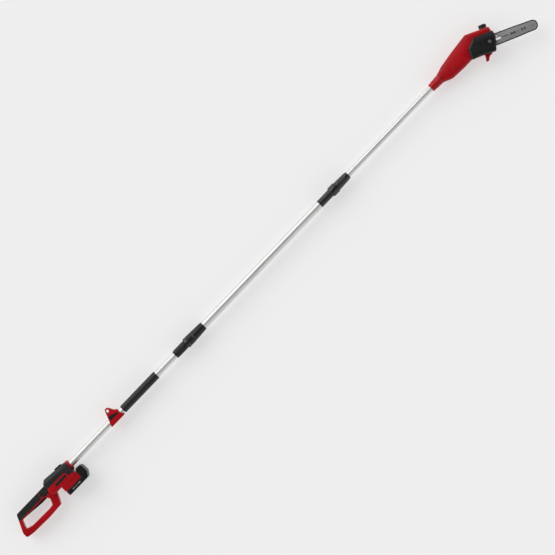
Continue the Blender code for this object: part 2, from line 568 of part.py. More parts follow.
def battery():
    """Battery pack: case with its cells, contacts side open, latch and charge display."""
    half = HOUSING_HALF - BAY_WALL - RUNNING
    wide = HOUSING_HALF - 0.0005
    top = BODY_BOTTOM - 0.0015 - 2 * RUNNING
    upper = [(BAY_REAR + 0.0036, BAY_BOTTOM - 0.004), (BAY_REAR + 0.0036, top),
             (BAY_FRONT + 0.004, top), (BAY_FRONT + 0.004, BAY_BOTTOM - 0.004)]
    case = piece("battery_case", slab(upper, AXIS - half, AXIS + half), "black_plastic")
    seam = BAY_BOTTOM - RUNNING
    lower = rounded([(BAY_REAR + 0.001, seam), (BAY_REAR + 0.001, BATTERY_BOTTOM, 0.003),
                     (BATTERY_FRONT - 0.012, BATTERY_BOTTOM, 0.004), (BATTERY_FRONT, -0.066, 0.01),
                     (BATTERY_FRONT, -0.033, 0.004), (BATTERY_FRONT - 0.012, LATCH_TOP, 0.003),
                     (BAY_FRONT + 0.007, LATCH_TOP), (BAY_FRONT + RUNNING, -0.034),
                     (BAY_FRONT + RUNNING, seam)])
    shape(case, slab(lower, AXIS - wide, AXIS + wide, 0.004, 0.004), "UNION")
    x0 = BAY_REAR + 0.0060
    x1 = x0 + CELL_PITCH * (CELLS_IN_ROW - 1) + 2 * CELL_RADIUS + 0.001
    rows = (BATTERY_BOTTOM + 0.0025 + CELL_RADIUS, BATTERY_BOTTOM + 0.0025 + 3 * CELL_RADIUS + 0.001)
    low, high = rows[0] - CELL_RADIUS - 0.0005, rows[1] + CELL_RADIUS + 0.0005
    reach = CELL_LENGTH / 2 + 0.0005
    shape(case, block((x0, low, AXIS - reach), (x1, high, AXIS + reach)))
    shape(case, block((BAY_REAR - 0.01, high - 0.004, AXIS - TERMINAL_HALF - 0.001),
                      (TERMINAL[1] + 0.009, top + 0.01, AXIS + TERMINAL_HALF + 0.001)))
    plate = block((x0 + 0.001, low + 0.001, AXIS - 0.004), (x1 - 0.001, high - 0.001, AXIS + 0.004))
    cells = piece("battery_cells", plate, "cell_sleeve")
    for row in rows:
        for k in range(CELLS_IN_ROW):
            shape(cells, disc(CELL_RADIUS, -CELL_LENGTH / 2, CELL_LENGTH / 2, 12), "UNION",
                  (x0 + CELL_RADIUS + 0.0005 + k * CELL_PITCH, row, AXIS))
    latch = (BAY_FRONT + 0.010, BATTERY_FRONT - 0.014)
    shape(case, block((latch[0] - GAP, LATCH_TOP - 0.009, AXIS - 0.012 - GAP),
                      (latch[1] + GAP, LATCH_TOP + 0.01, AXIS + 0.012 + GAP)))
    points = [(latch[0], LATCH_TOP - 0.005), (latch[1], LATCH_TOP - 0.005),
              (latch[1], LATCH_TOP - 0.0005), (latch[0], LATCH_TOP + 0.0015)]
    piece("battery_latch", slab(points, AXIS - 0.012, AXIS + 0.012, 0.0006, 0.0006, 1), "red_plastic")


def housing_screws():
    """Screws that hold the shells together, driven in from the right side."""
    places = ((-0.050, -0.030), (-0.072, -0.074), (-0.243, -0.068))
    for number, (x, y) in enumerate(places, 1):
        face = AXIS + (HOUSING_HALF if x > BODY_REAR else GRIP_HALF)
        top = face - 0.0004
        sunk = [(-0.012, 0.0), (-0.012, 0.0014), (-0.003, 0.0014), (-0.003, 0.0029), (0.0, 0.0029),
                (0.0, 0.0)]
        shape(bpy.data.objects["housing_right"],
              disc(0.0034, top - 0.003 - GAP, face + 0.01, 12), place=(x, y, 0.0))
        shape(bpy.data.objects["housing_right"], disc(0.0018, top - 0.0125, face, 10),
              place=(x, y, 0.0))
        piece("housing_screw_{}".format(number), upright(turned(sunk, False, 10)), "steel",
              (x, y, top))


# ---- Saw head ---------------------------------------------------------------------------------

def from_bar(along, across):
    """A point given along and across the guide bar, in the tool's own X and Y."""
    return BAR_ORIGIN.xy + Matrix.Rotation(HEAD_TILT, 2) @ Vector((along, across))


def on_bar(name, bm, kind, height=0.0):
    """A piece modelled along the guide bar."""
    return piece(name, bm, kind, BAR_ORIGIN + Vector((0.0, 0.0, height)), HEAD_TILT)


def cut_on_bar(target, bm, operation="DIFFERENCE", height=0.0):
    """A tool shape that lies along the guide bar."""
    return shape(target, bm, operation, BAR_ORIGIN + Vector((0.0, 0.0, height)), HEAD_TILT)


def head_outline():
    """Side outline of the saw head, from the collar over its top and back under the cover."""
    neck = COLLAR_TOP - 0.0003
    points = [(HEAD, -neck), (HEAD, neck), (HEAD + 0.035, 0.0305, 0.03), (HEAD + 0.100, 0.0405, 0.06),
              (HEAD + 0.190, 0.0505, 0.012)]
    tail = [(0.030, 0.0605, 0.004), (0.074, 0.0600, 0.006), (0.0785, 0.034, 0.02),
            (0.063, -0.040, 0.006), (-0.034, -0.040, 0.006)]
    points += [(*from_bar(x, y), r) for x, y, r in tail]
    points += [(HEAD + 0.100, -0.0398, 0.05), (HEAD + 0.037, -0.0362, 0.03)]
    return rounded(points, 2)


def head_shells():
    """The two red shells of the head, with room for motor, gears and tank."""
    outline = head_outline()
    inner = inset(outline, HEAD_WALL)
    for name, low, high in (("head_shell_left", 0.0, AXIS - SPLIT),
                            ("head_shell_right", AXIS + SPLIT, HEAD_SIDE)):
        left = low == 0.0
        shell = piece(name, slab(outline, low, high, 0.008 if left else 0.0,
                                 0.0 if left else 0.003), "red_plastic")
        shape(shell, slab(inner, HEAD_WALL, HEAD_SIDE - HEAD_WALL))
        bore = UPPER_TUBE + 2 * GAP
        shape(shell, turned([(-0.02, 0.0), (-0.02, bore), (0.03, bore), (0.03, 0.0)], False),
              place=(HEAD, 0.0, AXIS))
        mouth = disc(OIL_NECK + GAP, 0.0, 0.02)
        mouth.transform(Matrix.Translation((*NECK, OIL_AXIS)) @ Matrix.Rotation(-math.pi / 2, 4, "X"))
        cut_on_bar(shell, mouth)
        if not left:
            seat = disc(OUTPUT_SHAFT + RUNNING + BEARING_WALL + GAP, HEAD_SIDE - 0.01, HEAD_SIDE + 0.01)
            cut_on_bar(shell, moved(seat, SPROCKET_PLACE))
            hole = disc(0.0035 + GAP, HEAD_SIDE - 0.01, HEAD_SIDE + 0.01, 12)
            cut_on_bar(shell, moved(hole, STUD_PLACE))
        for x, y, length in VENTS:
            slit = block((-0.0011, -length / 2, -0.01), (0.0011, length / 2, 0.012))
            shape(shell, slit, place=(HEAD + x, y, 0.0 if left else HEAD_SIDE))


def moved(bm, along, across=0.0, up=0.0):
    """The same shape, shifted."""
    bmesh.ops.translate(bm, verts=bm.verts[:], vec=(along, across, up))
    return bm


def collar():
    """Red collar that clamps the head to the upper tube."""
    bore = UPPER_TUBE + GAP
    length = COLLAR_LENGTH - GAP
    profile = [(0.0, bore), (length, bore), (length, COLLAR_TOP), (0.030, 0.0190), (0.002, 0.0167),
               (0.0, 0.0155)]
    piece("head_collar", turned(profile), "red_plastic", (COLLAR, 0.0, AXIS))


def drive():
    """Motor can, its shaft with the pinion, and the crown gear on the shaft of the sprocket."""
    motor_y = OUTPUT.y
    rear = HEAD + 0.037
    front = rear + MOTOR_LENGTH
    bore = MOTOR_SHAFT + RUNNING
    profile = [(0.0, bore), (MOTOR_LENGTH, bore), (MOTOR_LENGTH, MOTOR_RADIUS - 0.001),
               (MOTOR_LENGTH - 0.001, MOTOR_RADIUS), (0.001, MOTOR_RADIUS), (0.0, MOTOR_RADIUS - 0.001)]
    piece("motor_can", turned(profile), "steel", (rear, motor_y, DRIVE_AXIS))
    plate_x = front + 0.012
    profile = [(0.0, bore), (0.004, bore), (0.004, MOTOR_RADIUS - 0.0005), (0.0, MOTOR_RADIUS - 0.0005)]
    piece("gear_plate", turned(profile), "aluminium", (plate_x, motor_y, DRIVE_AXIS))
    pinion_radius = CROWN_RADIUS * PINION_TEETH / CROWN_TEETH
    face = 0.007
    tip = OUTPUT.x - CROWN_RADIUS
    shaft = piece("motor_shaft", turned([(0.0, 0.0), (0.0, MOTOR_SHAFT), (tip - rear + 0.002, MOTOR_SHAFT),
                                         (tip - rear + 0.002, 0.0)], False, 12), "steel",
                  (rear, motor_y, DRIVE_AXIS))
    # Pinion: pitch cone with its apex on the output shaft's axis
    pinion = bevel_wheel(PINION_TEETH, pinion_radius, CROWN_RADIUS, face, 0.0013, 0.0)
    pinion.transform(Matrix.Rotation(math.pi / 2, 4, "Y"))
    shape(shaft, pinion, "UNION", (OUTPUT.x, motor_y, DRIVE_AXIS))
    output = piece("output_shaft", round_bar(OUTPUT_SHAFT, 0.008, HEAD_SIDE + 0.0145),
                   "steel", (OUTPUT.x, motor_y, 0.0))
    crown = bevel_wheel(CROWN_TEETH, CROWN_RADIUS, pinion_radius, face, 0.0013, 0.5)
    shape(output, crown, "UNION", (OUTPUT.x, motor_y, DRIVE_AXIS))
    bearing_bore = OUTPUT_SHAFT + RUNNING / 2
    for name, low, high in (("bearing_low", HEAD_WALL + GAP, HEAD_WALL + GAP + 0.007),
                            ("bearing_high", HEAD_SIDE - 0.007, HEAD_SIDE - GAP)):
        outer = OUTPUT_SHAFT + RUNNING + BEARING_WALL
        profile = [(0.0, bearing_bore), (high - low, bearing_bore), (high - low, outer), (0.0, outer)]
        piece(name, upright(turned(profile)), "steel", (OUTPUT.x, motor_y, low))
    low = HEAD_SIDE + 0.0015
    sprocket = piece("drive_sprocket", star(SPROCKET_TEETH, DRIVE_PITCH_RADIUS - 0.0022,
                                            DRIVE_PITCH_RADIUS - 0.0062, low, low + 0.0075),
                     "chain_steel", (OUTPUT.x, motor_y, 0.0))
    shape(sprocket, disc(OUTPUT_SHAFT + GAP, 0.0, 0.1), place=(OUTPUT.x, motor_y, 0.0))


def round_bar(radius, low, high):
    """A plain round bar standing between two heights."""
    return upright(turned([(low, 0.0), (low, radius), (high, radius), (high, 0.0)], False, 16))


def star(teeth, tip, root, low, high):
    """A sprocket's outline, extruded."""
    points = []
    for k in range(teeth):
        for part, radius in ((-0.5, root), (-0.22, root + 0.0008), (-0.08, tip), (0.08, tip),
                             (0.22, root + 0.0008)):
            angle = 2 * math.pi * (k + part) / teeth
            points.append((radius * math.cos(angle), radius * math.sin(angle)))
    return slab(points, low, high)


def bevel_wheel(teeth, radius, mate_radius, face, tooth, phase):
    """A bevel gear about Z whose pitch cone has its apex at the origin and opens downwards."""
    bm = bmesh.new()
    outer = Vector((radius, -mate_radius))
    slope = outer.normalized()
    normal = Vector((-slope.y, slope.x))
    rings = []
    for distance in (outer.length - face, outer.length):
        scale = distance / outer.length
        loop = []
        for k in range(teeth):
            for part, lift in ((-0.5, -1.2), (-0.34, -1.2), (-0.12, 0.9), (0.12, 0.9), (0.34, -1.2)):
                angle = 2 * math.pi * (k + part + phase) / teeth
                point = slope * distance + normal * (tooth * scale * lift)
                loop.append(bm.verts.new((point.x * math.cos(angle), point.x * math.sin(angle),
                                          point.y)))
        rings.append(loop)
    centre_low = bm.verts.new((0.0, 0.0, -mate_radius - 0.003))
    centre_high = bm.verts.new((0.0, 0.0, max(v.co.z for v in rings[0]) + 0.0002))
    count = len(rings[0])
    base = [bm.verts.new((v.co.x, v.co.y, -mate_radius - 0.003)) for v in rings[1]]
    for k in range(count):
        n = (k + 1) % count
        bm.faces.new((rings[0][k], rings[0][n], rings[1][n], rings[1][k]))
        bm.faces.new((rings[1][k], rings[1][n], base[n], base[k]))
        bm.faces.new((base[k], base[n], centre_low))
        bm.faces.new((rings[0][n], rings[0][k], centre_high))
    return bm


def bar_half(along):
    """Half the guide bar's height at a place along it."""
    places = ((BAR_TAIL, 0.0192), (0.080, 0.0200), (0.150, 0.0192), (NOSE_PLACE, NOSE_RADIUS))
    for (a, low), (b, high) in zip(places, places[1:]):
        if along <= b:
            return low + (high - low) * (along - a) / (b - a)
    return NOSE_RADIUS


def guide_bar():
    """Guide bar with its stud slot, oil hole and the slot of the nose sprocket."""
    stations = (BAR_TAIL + BAR_TAKE_UP + 0.002, 0.080, 0.150, NOSE_PLACE)
    tail = Vector((BAR_TAIL, bar_half(BAR_TAIL) - TAIL_EASE))
    points = [tail] + [Vector((x, bar_half(x))) for x in stations]
    for k in range(1, 12):
        angle = math.pi / 2 - math.pi * k / 12
        points.append(Vector((NOSE_PLACE + NOSE_RADIUS * math.cos(angle),
                              NOSE_RADIUS * math.sin(angle))))
    points += [Vector((x, -bar_half(x))) for x in reversed(stations)]
    points.append(Vector((tail.x, -tail.y)))
    half = BAR_THICKNESS / 2
    bar = on_bar("guide_bar", slab(points, BAR_HEIGHT - half, BAR_HEIGHT + half), "steel")
    slot = rounded([(0.034, -0.0038, 0.0037), (0.101, -0.0038, 0.0037), (0.101, 0.0038, 0.0037),
                    (0.034, 0.0038, 0.0037)], 3)
    cut_on_bar(bar, slab(slot, 0.0, 0.1))
    for x, y in ((0.088, 0.0107), TENSION_HOLE):
        cut_on_bar(bar, moved(disc(0.0026, 0.0, 0.1, 12), x, y))
    pocket = upright(turned([(-0.0008, 0.0045), (0.0008, 0.0045), (0.0008, 0.03), (-0.0008, 0.03)]))
    cut_on_bar(bar, moved(pocket, NOSE_PLACE), height=BAR_HEIGHT)
    nose = star(SPROCKET_TEETH, NOSE_RADIUS - 0.0008, NOSE_RADIUS - 0.004, -0.0005, 0.0005)
    sprocket = piece("nose_sprocket", nose, "chain_steel", (*from_bar(NOSE_PLACE, 0.0), BAR_HEIGHT),
                     HEAD_TILT)
    cut_on_bar(sprocket, moved(disc(0.0045 + RUNNING, 0.0, 0.1), NOSE_PLACE))
    return points


def chain_path(offset):
    """The chain's closed line, a distance outside the bar's rails."""
    stations = (0.080, 0.150)
    gap = GAP + offset
    top = [Vector((x, bar_half(x) + gap)) for x in stations]
    points = list(top)
    for place, radius, start in ((NOSE_PLACE, NOSE_RADIUS + gap, math.pi / 2),
                                 (SPROCKET_PLACE, DRIVE_PITCH_RADIUS - 0.0008 + gap, -math.pi / 2)):
        for k in range(13):
            angle = start - math.pi * k / 12
            points.append(Vector((place + radius * math.cos(angle), radius * math.sin(angle))))
        if start > 0:
            points += [Vector((p.x, -p.y)) for p in reversed(top)]
            points.append(Vector((BAR_TAIL, -bar_half(BAR_TAIL) - gap)))
    points.append(Vector((BAR_TAIL, bar_half(BAR_TAIL) + gap)))
    return points


def saw_chain():
    """The saw chain's closed loop: links and cutters as one band round the bar."""
    low, high = BAR_HEIGHT - CHAIN_WIDTH / 2, BAR_HEIGHT + CHAIN_WIDTH / 2
    chain = on_bar("saw_chain", slab(chain_path(CHAIN_DEPTH), low, high), "chain_steel")
    cut_on_bar(chain, slab(chain_path(0.0), low - 0.01, high + 0.01))


def cover():
    """Black sprocket cover, open towards the head and where the bar comes out, and its bolt."""
    outline = rounded([(-0.038, 0.003, 0.01), (-0.0385, -0.0435, 0.006), (0.002, -0.0412, 0.05),
                       (0.0657, -0.0450, 0.006), (0.0797, -0.003, 0.03), (0.0823, 0.0235, 0.02),
                       (0.0797, 0.0376, 0.003), (-0.002, 0.0380, 0.008)], 2)
    low = HEAD_SIDE + GAP
    cover_piece = on_bar("chain_cover", slab(outline, low, COVER_SIDE, 0.0, 0.004), "black_plastic")
    hollow = inset(outline, COVER_WALL)
    cut_on_bar(cover_piece, slab(hollow, low - 0.01, COVER_SIDE - COVER_WALL))
    cut_on_bar(cover_piece, block((0.040, -0.0290, low - 0.01), (0.120, 0.0285, BAR_HEIGHT + 0.005)))
    way = turned([(0.060, 0.0), (0.060, 0.003), (0.095, 0.003), (0.095, 0.0)], False, 12)
    cut_on_bar(cover_piece, moved(way, 0.0, TENSION_HOLE[1]), height=SCREW_HEIGHT)
    bolt_x, bolt_y = STUD_PLACE, 0.0
    cut_on_bar(cover_piece, moved(disc(0.0040, 0.0, 0.1, 16), bolt_x, bolt_y))
    top = COVER_SIDE - COVER_WALL
    stud = [(HEAD_SIDE - 0.008, 0.0), (HEAD_SIDE - 0.008, 0.0035), (COVER_SIDE - 0.001, 0.0035),
            (COVER_SIDE - 0.001, 0.0)]
    on_bar("bar_stud", moved(upright(turned(stud, False, 12)), bolt_x, bolt_y), "steel")
    bore = (0.0035 + GAP) / math.cos(math.pi / 6)
    nut = [(top - 0.0085, bore), (top - GAP, bore), (top - GAP, 0.0075), (top - 0.0085, 0.0075)]
    on_bar("cover_nut", moved(upright(turned(nut, True, 6)), bolt_x, bolt_y), "steel")


def take_up():
    """The chain's tension screw, and the block on it whose pin moves the bar."""
    y, z = TENSION_HOLE[1], SCREW_HEIGHT
    profile = [(0.030, 0.0), (0.030, 0.002), (0.0660, 0.002), (0.0660, 0.0038), (0.0690, 0.0038),
               (0.0690, 0.0)]
    screw = turned(profile, False, 12)
    on_bar("tension_screw", moved(screw, 0.0, y), "steel", z)
    pin = TENSION_HOLE[0]
    carrier = on_bar("tension_block", block((pin - 0.005, y - 0.0045, BAR_HEIGHT + 0.0042),
                                            (pin + 0.005, y + 0.0045, BAR_HEIGHT + 0.0128)), "steel")
    bore = turned([(0.0, 0.0), (0.0, 0.002 + GAP), (0.1, 0.002 + GAP), (0.1, 0.0)], False, 12)
    cut_on_bar(carrier, moved(bore, 0.0, y), height=z)
    cut_on_bar(carrier, moved(disc(0.0022, BAR_HEIGHT - 0.001, BAR_HEIGHT + 0.005, 12), pin, y),
               "UNION")


def hook():
    """Red branch hook under the cover."""
    points = rounded([(0.020, -0.0460, 0.001), (0.019, -0.0560, 0.003), (0.0165, -0.0690, 0.0012),
                      (0.0235, -0.0700, 0.0012), (0.033, -0.0610, 0.004), (0.043, -0.0555, 0.006),
                      (0.0585, -0.0462, 0.001)], 2)
    fin = on_bar("branch_hook", slab(points, 0.030, 0.052, 0.0015, 0.0015, 1), "red_plastic")
    root = [Vector(p) for p in ((0.020, -0.0470), (0.050, -0.0470), (0.050, -0.0402), (0.020, -0.0402))]
    cut_on_bar(fin, slab(root, 0.034, 0.048), "UNION")


def oil_system():
    """Oil tank with its neck, the pump, the screw cap and the seal inside the cap."""
    x, y = NECK
    outside = block((0.022, 0.028, HEAD_WALL + GAP), (0.0715, y + 0.003, HEAD_SIDE - 0.0035))
    tank = on_bar("oil_tank", outside, "clear_tank")
    inner = block((0.0235, 0.0295, HEAD_WALL + GAP + 0.0015), (0.070, y + 0.0015, HEAD_SIDE - 0.005))
    neck = disc(OIL_NECK, 0.0, 0.0125)
    neck.transform(Matrix.Translation((x, y, OIL_AXIS)) @ Matrix.Rotation(-math.pi / 2, 4, "X"))
    bore = disc(OIL_NECK - 0.0022, -0.004, 0.02)
    bore.transform(Matrix.Translation((x, y, OIL_AXIS)) @ Matrix.Rotation(-math.pi / 2, 4, "X"))
    cut_on_bar(tank, neck, "UNION")
    cut_on_bar(tank, inner)
    cut_on_bar(tank, bore)
    top = y + 0.0125
    for name, low, high, kind, radius, steps in (
            ("oil_cap_seal", top - 0.006, top + GAP, "rubber", OIL_NECK - 0.0022 - RUNNING, 20),
            ("oil_cap", top + 2 * GAP, top + OIL_CAP_HEIGHT - 0.003, "black_plastic", OIL_CAP, 20)):
        bm = slab([(radius * math.cos(2 * math.pi * k / steps), radius * math.sin(2 * math.pi * k / steps))
                   for k in range(steps)], 0.0, high - low, 0.0, 0.0015, 2)
        bm.transform(Matrix.Rotation(HEAD_TILT, 4, "Z") @ Matrix.Rotation(-math.pi / 2, 4, "X"))
        piece(name, bm, kind, (*from_bar(x, low), OIL_AXIS))
    pump = on_bar("oil_pump", block((0.034, 0.006, 0.030), (0.060, 0.022, 0.046)), "black_plastic")
    outlet = disc(0.0025, 0.045, HEAD_SIDE - 0.003, 10)
    cut_on_bar(pump, moved(outlet, 0.047, 0.0107), "UNION")


def head_screws():
    """Screws that hold the head's shells together, driven in from the right side."""
    for number, (x, y) in enumerate(((0.022, 0.0215), (0.128, -0.034)), 1):
        top = HEAD_SIDE - 0.0004
        sunk = [(-0.010, 0.0), (-0.010, 0.0014), (-0.0028, 0.0014), (-0.0028, 0.0028), (0.0, 0.0028),
                (0.0, 0.0)]
        place = (HEAD + x, y, top)
        shape(bpy.data.objects["head_shell_right"], disc(0.0032, -0.0031, 0.02, 12), place=place)
        shape(bpy.data.objects["head_shell_right"], disc(0.0017, -0.0105, 0.0, 10), place=place)
        piece("head_screw_{}".format(number), upright(turned(sunk, False, 10)), "steel", place)


def build():
    """The whole saw."""
    tubes()
    clamps()
    leads()
    strap_bracket()
    rear_unit()
    battery()
    housing_screws()
    collar()
    head_shells()
    drive()
    guide_bar()
    saw_chain()
    cover()
    take_up()
    hook()
    oil_system()
    head_screws()


build()
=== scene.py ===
"""Looks of a cordless telescoping pole saw that lies on its left side.

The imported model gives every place: +X along the pole to the saw head, +Y to the tool's top side,
+Z up, out of the side that carries the guide bar. Sizes are in metres.
"""
import math

import bmesh
import bpy
from mathutils import Matrix, Vector


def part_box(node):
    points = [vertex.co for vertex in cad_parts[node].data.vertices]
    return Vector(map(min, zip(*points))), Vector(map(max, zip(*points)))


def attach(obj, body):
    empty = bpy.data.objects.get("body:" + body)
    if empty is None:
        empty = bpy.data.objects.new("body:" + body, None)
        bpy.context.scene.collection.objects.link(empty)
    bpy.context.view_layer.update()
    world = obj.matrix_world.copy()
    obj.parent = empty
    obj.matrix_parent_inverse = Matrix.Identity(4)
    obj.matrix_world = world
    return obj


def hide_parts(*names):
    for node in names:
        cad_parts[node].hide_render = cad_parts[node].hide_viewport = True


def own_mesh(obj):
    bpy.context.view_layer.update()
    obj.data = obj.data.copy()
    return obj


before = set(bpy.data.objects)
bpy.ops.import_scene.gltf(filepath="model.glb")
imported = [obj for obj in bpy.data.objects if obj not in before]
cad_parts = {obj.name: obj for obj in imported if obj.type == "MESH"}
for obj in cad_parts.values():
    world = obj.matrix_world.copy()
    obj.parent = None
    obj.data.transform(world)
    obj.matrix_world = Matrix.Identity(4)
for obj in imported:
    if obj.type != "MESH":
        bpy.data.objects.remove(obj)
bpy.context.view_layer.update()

ROUND = 72                  # sides of a finely turned piece
TILT = math.radians(-25.0)  # of the guide bar, from the pole


def span(node, axis=0):
    """Lowest and highest place of a node along one axis."""
    low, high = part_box(node)
    return low[axis], high[axis]


def middle(node):
    """Centre of a node's box."""
    low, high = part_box(node)
    return (low + high) / 2


AXIS = middle("tube_middle").z
SIDE = span("housing_right", 2)[1]  # the rear housing's upper flat side
HEAD_REAR = span("head_shell_left")[0]
HEAD_SIDE = span("head_shell_right", 2)[1]  # the head's upper flat side
BAR_Z = middle("guide_bar").z
SPROCKET = middle("output_shaft").xy
ALONG_BAR = Vector((math.cos(TILT), math.sin(TILT)))
ACROSS_BAR = Vector((-math.sin(TILT), math.cos(TILT)))
NOSE = middle("nose_sprocket").xy
BAR_ORIGIN = SPROCKET + ALONG_BAR * 0.006   # where the bar's own coordinates start
NOSE_ALONG = (NOSE - BAR_ORIGIN).dot(ALONG_BAR)
TO_BAR = Matrix.Translation((*BAR_ORIGIN, 0.0)) @ Matrix.Rotation(TILT, 4, "Z")


# ---- Shader maths -----------------------------------------------------------------------------

class Value:
    """A shader socket that takes part in Python expressions."""

    def __init__(self, finish, socket):
        self.finish, self.socket = finish, socket

    def sum(self, operation, *others):
        return self.finish.node("ShaderNodeMath", {"operation": operation},
                                dict(enumerate((self,) + others)))

    def reverse(self, operation, other):
        return self.finish.node("ShaderNodeMath", {"operation": operation}, {0: other, 1: self})

    def __add__(self, other):
        return self.sum("ADD", other)

    def __sub__(self, other):
        return self.sum("SUBTRACT", other)

    def __mul__(self, other):
        return self.sum("MULTIPLY", other)

    def __rsub__(self, other):
        return self.reverse("SUBTRACT", other)

    __radd__ = __add__
    __rmul__ = __mul__


class Shading:
    """A shader and the nodes that feed it."""

    def __init__(self, tree, shader):
        self.tree, self.shader = tree, tree.nodes[shader]

    def node(self, kind, settings=None, inputs=None, output=0):
        """Adds a node: its settings first, then the values or links of its sockets."""
        made = self.tree.nodes.new(kind)
        for key, value in (settings or {}).items():
            setattr(made, key, value)
        for key, value in (inputs or {}).items():
            self.put(made.inputs[key], value)
        return Value(self, made.outputs[output])

    def put(self, socket, value):
        """Gives a socket a link or a value."""
        if isinstance(value, Value):
            self.tree.links.new(value.socket, socket)
        elif isinstance(value, tuple) and len(value) == 3 and socket.type == "RGBA":
            socket.default_value = (*value, 1.0)
        else:
            socket.default_value = value

    def feed(self, **values):
        """Sets the shader's own sockets, named with underscores for spaces."""
        for key, value in values.items():
            self.put(self.shader.inputs[key.replace("_", " ")], value)


class Finish(Shading):
    """One material, with the patterns that a surface is made of."""

    def __init__(self, name, **constants):
        self.material = bpy.data.materials.new(name)
        self.material.use_nodes = True
        super().__init__(self.material.node_tree, "Principled BSDF")
        self.feed(**constants)
        self.place = self.node("ShaderNodeTexCoord", output="Object")

    def stretched(self, scale, turn=0.0):
        """Object coordinates, turned about Z and scaled along each axis."""
        return self.node("ShaderNodeMapping", {}, {
            "Vector": self.place, "Rotation": (0.0, 0.0, turn), "Scale": scale})

    def grain(self, size, detail=3.0, rough=0.55, vector=None):
        """Even noise whose features are about this size."""
        return self.node("ShaderNodeTexNoise", {}, {
            "Vector": vector or self.place, "Scale": 1.0 / size, "Detail": detail,
            "Roughness": rough})

    def steps(self, value, low, high):
        """Value spread so that low becomes 0 and high becomes 1."""
        return self.node("ShaderNodeMapRange", {"clamp": True}, {
            "Value": value, "From Min": low, "From Max": high})

    def blend(self, factor, first, second):
        """A colour between two colours."""
        return self.node("ShaderNodeMix", {"data_type": "RGBA"}, {0: factor, 6: first, 7: second}, 2)

    def edges(self, width):
        """1 on the outer edges, fading out."""
        point = self.node("ShaderNodeNewGeometry", output="Pointiness")
        return self.steps(point, 0.5 + width, 0.5 + 4 * width)

    def bump(self, height, strength, distance):
        """Raises the surface by a height pattern."""
        self.feed(Normal=self.node("ShaderNodeBump", {}, {
            "Strength": strength, "Distance": distance, "Height": height}))


def moulded(name, colour, deep, roughness, grain=0.0011, depth=0.25, dust=(0.30, 0.28, 0.26),
            wear=0.35, coat=0.0, sheen=0.0, shine=0.35):
    """Injection-moulded plastic: spark-eroded grain, faint flow marks, rubbed edges, fine dust."""
    made = Finish(name, Coat_Weight=coat, Coat_Roughness=0.25, Sheen_Weight=sheen,
                  Specular_IOR_Level=shine)
    flow = made.grain(0.045, 2.0, 0.4, made.stretched((0.5, 1.0, 1.0)))
    skin = made.grain(grain, 2.0)
    fine = made.grain(0.012, 6.0, 0.7)
    tone = made.blend(made.steps(flow, 0.35, 0.68), deep, colour)
    rubbed = made.edges(0.02) * made.steps(fine, 0.45, 0.62) * wear
    settled = made.steps(fine, 0.60, 0.80) * 0.10
    made.feed(Base_Color=made.blend(rubbed + settled, tone, dust))
    scuffs = made.steps(made.grain(0.0025, 2.0, 0.5, made.stretched((0.12, 1.0, 0.6), 0.4)), 0.60, 0.72)
    made.feed(Roughness=roughness + (flow - 0.5) * 0.10 + scuffs * 0.10 - rubbed * 0.12)
    made.bump(skin * 0.8 + scuffs * 0.3, depth, 0.0002)
    return made.material


def drawn_metal(name, colour, roughness, turn=0.0, lines=0.0009, stain=0.10, depth=0.12, metallic=1.0,
                dark=(0.20, 0.20, 0.21)):
    """Metal with fine lines along one direction, faint smudges and small scratches."""
    made = Finish(name, Metallic=metallic, Anisotropic=0.35)
    along = made.stretched((0.012, 1.0, 1.0), -turn)
    fine = made.grain(lines, 4.0, 0.65, along)
    smudge = made.grain(0.05, 3.0, 0.6)
    cuts = made.steps(made.grain(0.0035, 1.0, 0.4, made.stretched((0.05, 1.0, 1.0), 0.7)), 0.66, 0.72)
    dull = made.steps(smudge, 0.50, 0.78) * stain
    made.feed(Base_Color=made.blend(dull + cuts * 0.12 + (fine - 0.5) * 0.12, colour, dark))
    made.feed(Roughness=roughness + (fine - 0.5) * 0.14 + dull * 0.8 + cuts * 0.1)
    made.bump(fine - cuts * 0.6, depth, 0.0001)
    return made.material


def closed_foam(name):
    """Foam sleeve: fine closed cells with a few larger ones, and a slightly shiny skin."""
    made = Finish(name, Sheen_Weight=0.03, Sheen_Roughness=0.6, Specular_IOR_Level=0.45)
    cells = made.node("ShaderNodeTexVoronoi", {"feature": "F1"}, {
        "Vector": made.place, "Scale": 950.0}, "Distance")
    big = made.grain(0.006, 3.0)
    made.feed(Base_Color=made.blend(made.steps(cells, 0.1, 0.6), (0.0120, 0.0120, 0.0125),
                                    (0.0050, 0.0050, 0.0055)))
    made.feed(Roughness=0.50 + (big - 0.5) * 0.25)
    made.bump(cells * 0.8 + big * 0.5, 0.5, 0.0004)
    return made.material


def oiled_chain(name):
    """Dark blued steel with a patchy film of oil and bright rubbed edges."""
    made = Finish(name, Metallic=0.85, Coat_Roughness=0.2)
    film = made.grain(0.010, 4.0, 0.6)
    bright = made.edges(0.03) * made.steps(made.grain(0.003, 3.0), 0.40, 0.6)
    made.feed(Base_Color=made.blend(bright * 0.6, (0.009, 0.0088, 0.009), (0.12, 0.115, 0.115)),
              Roughness=0.34 + (film - 0.5) * 0.3, Coat_Weight=made.steps(film, 0.4, 0.7) * 0.5)
    made.bump(film, 0.15, 0.0003)
    return made.material


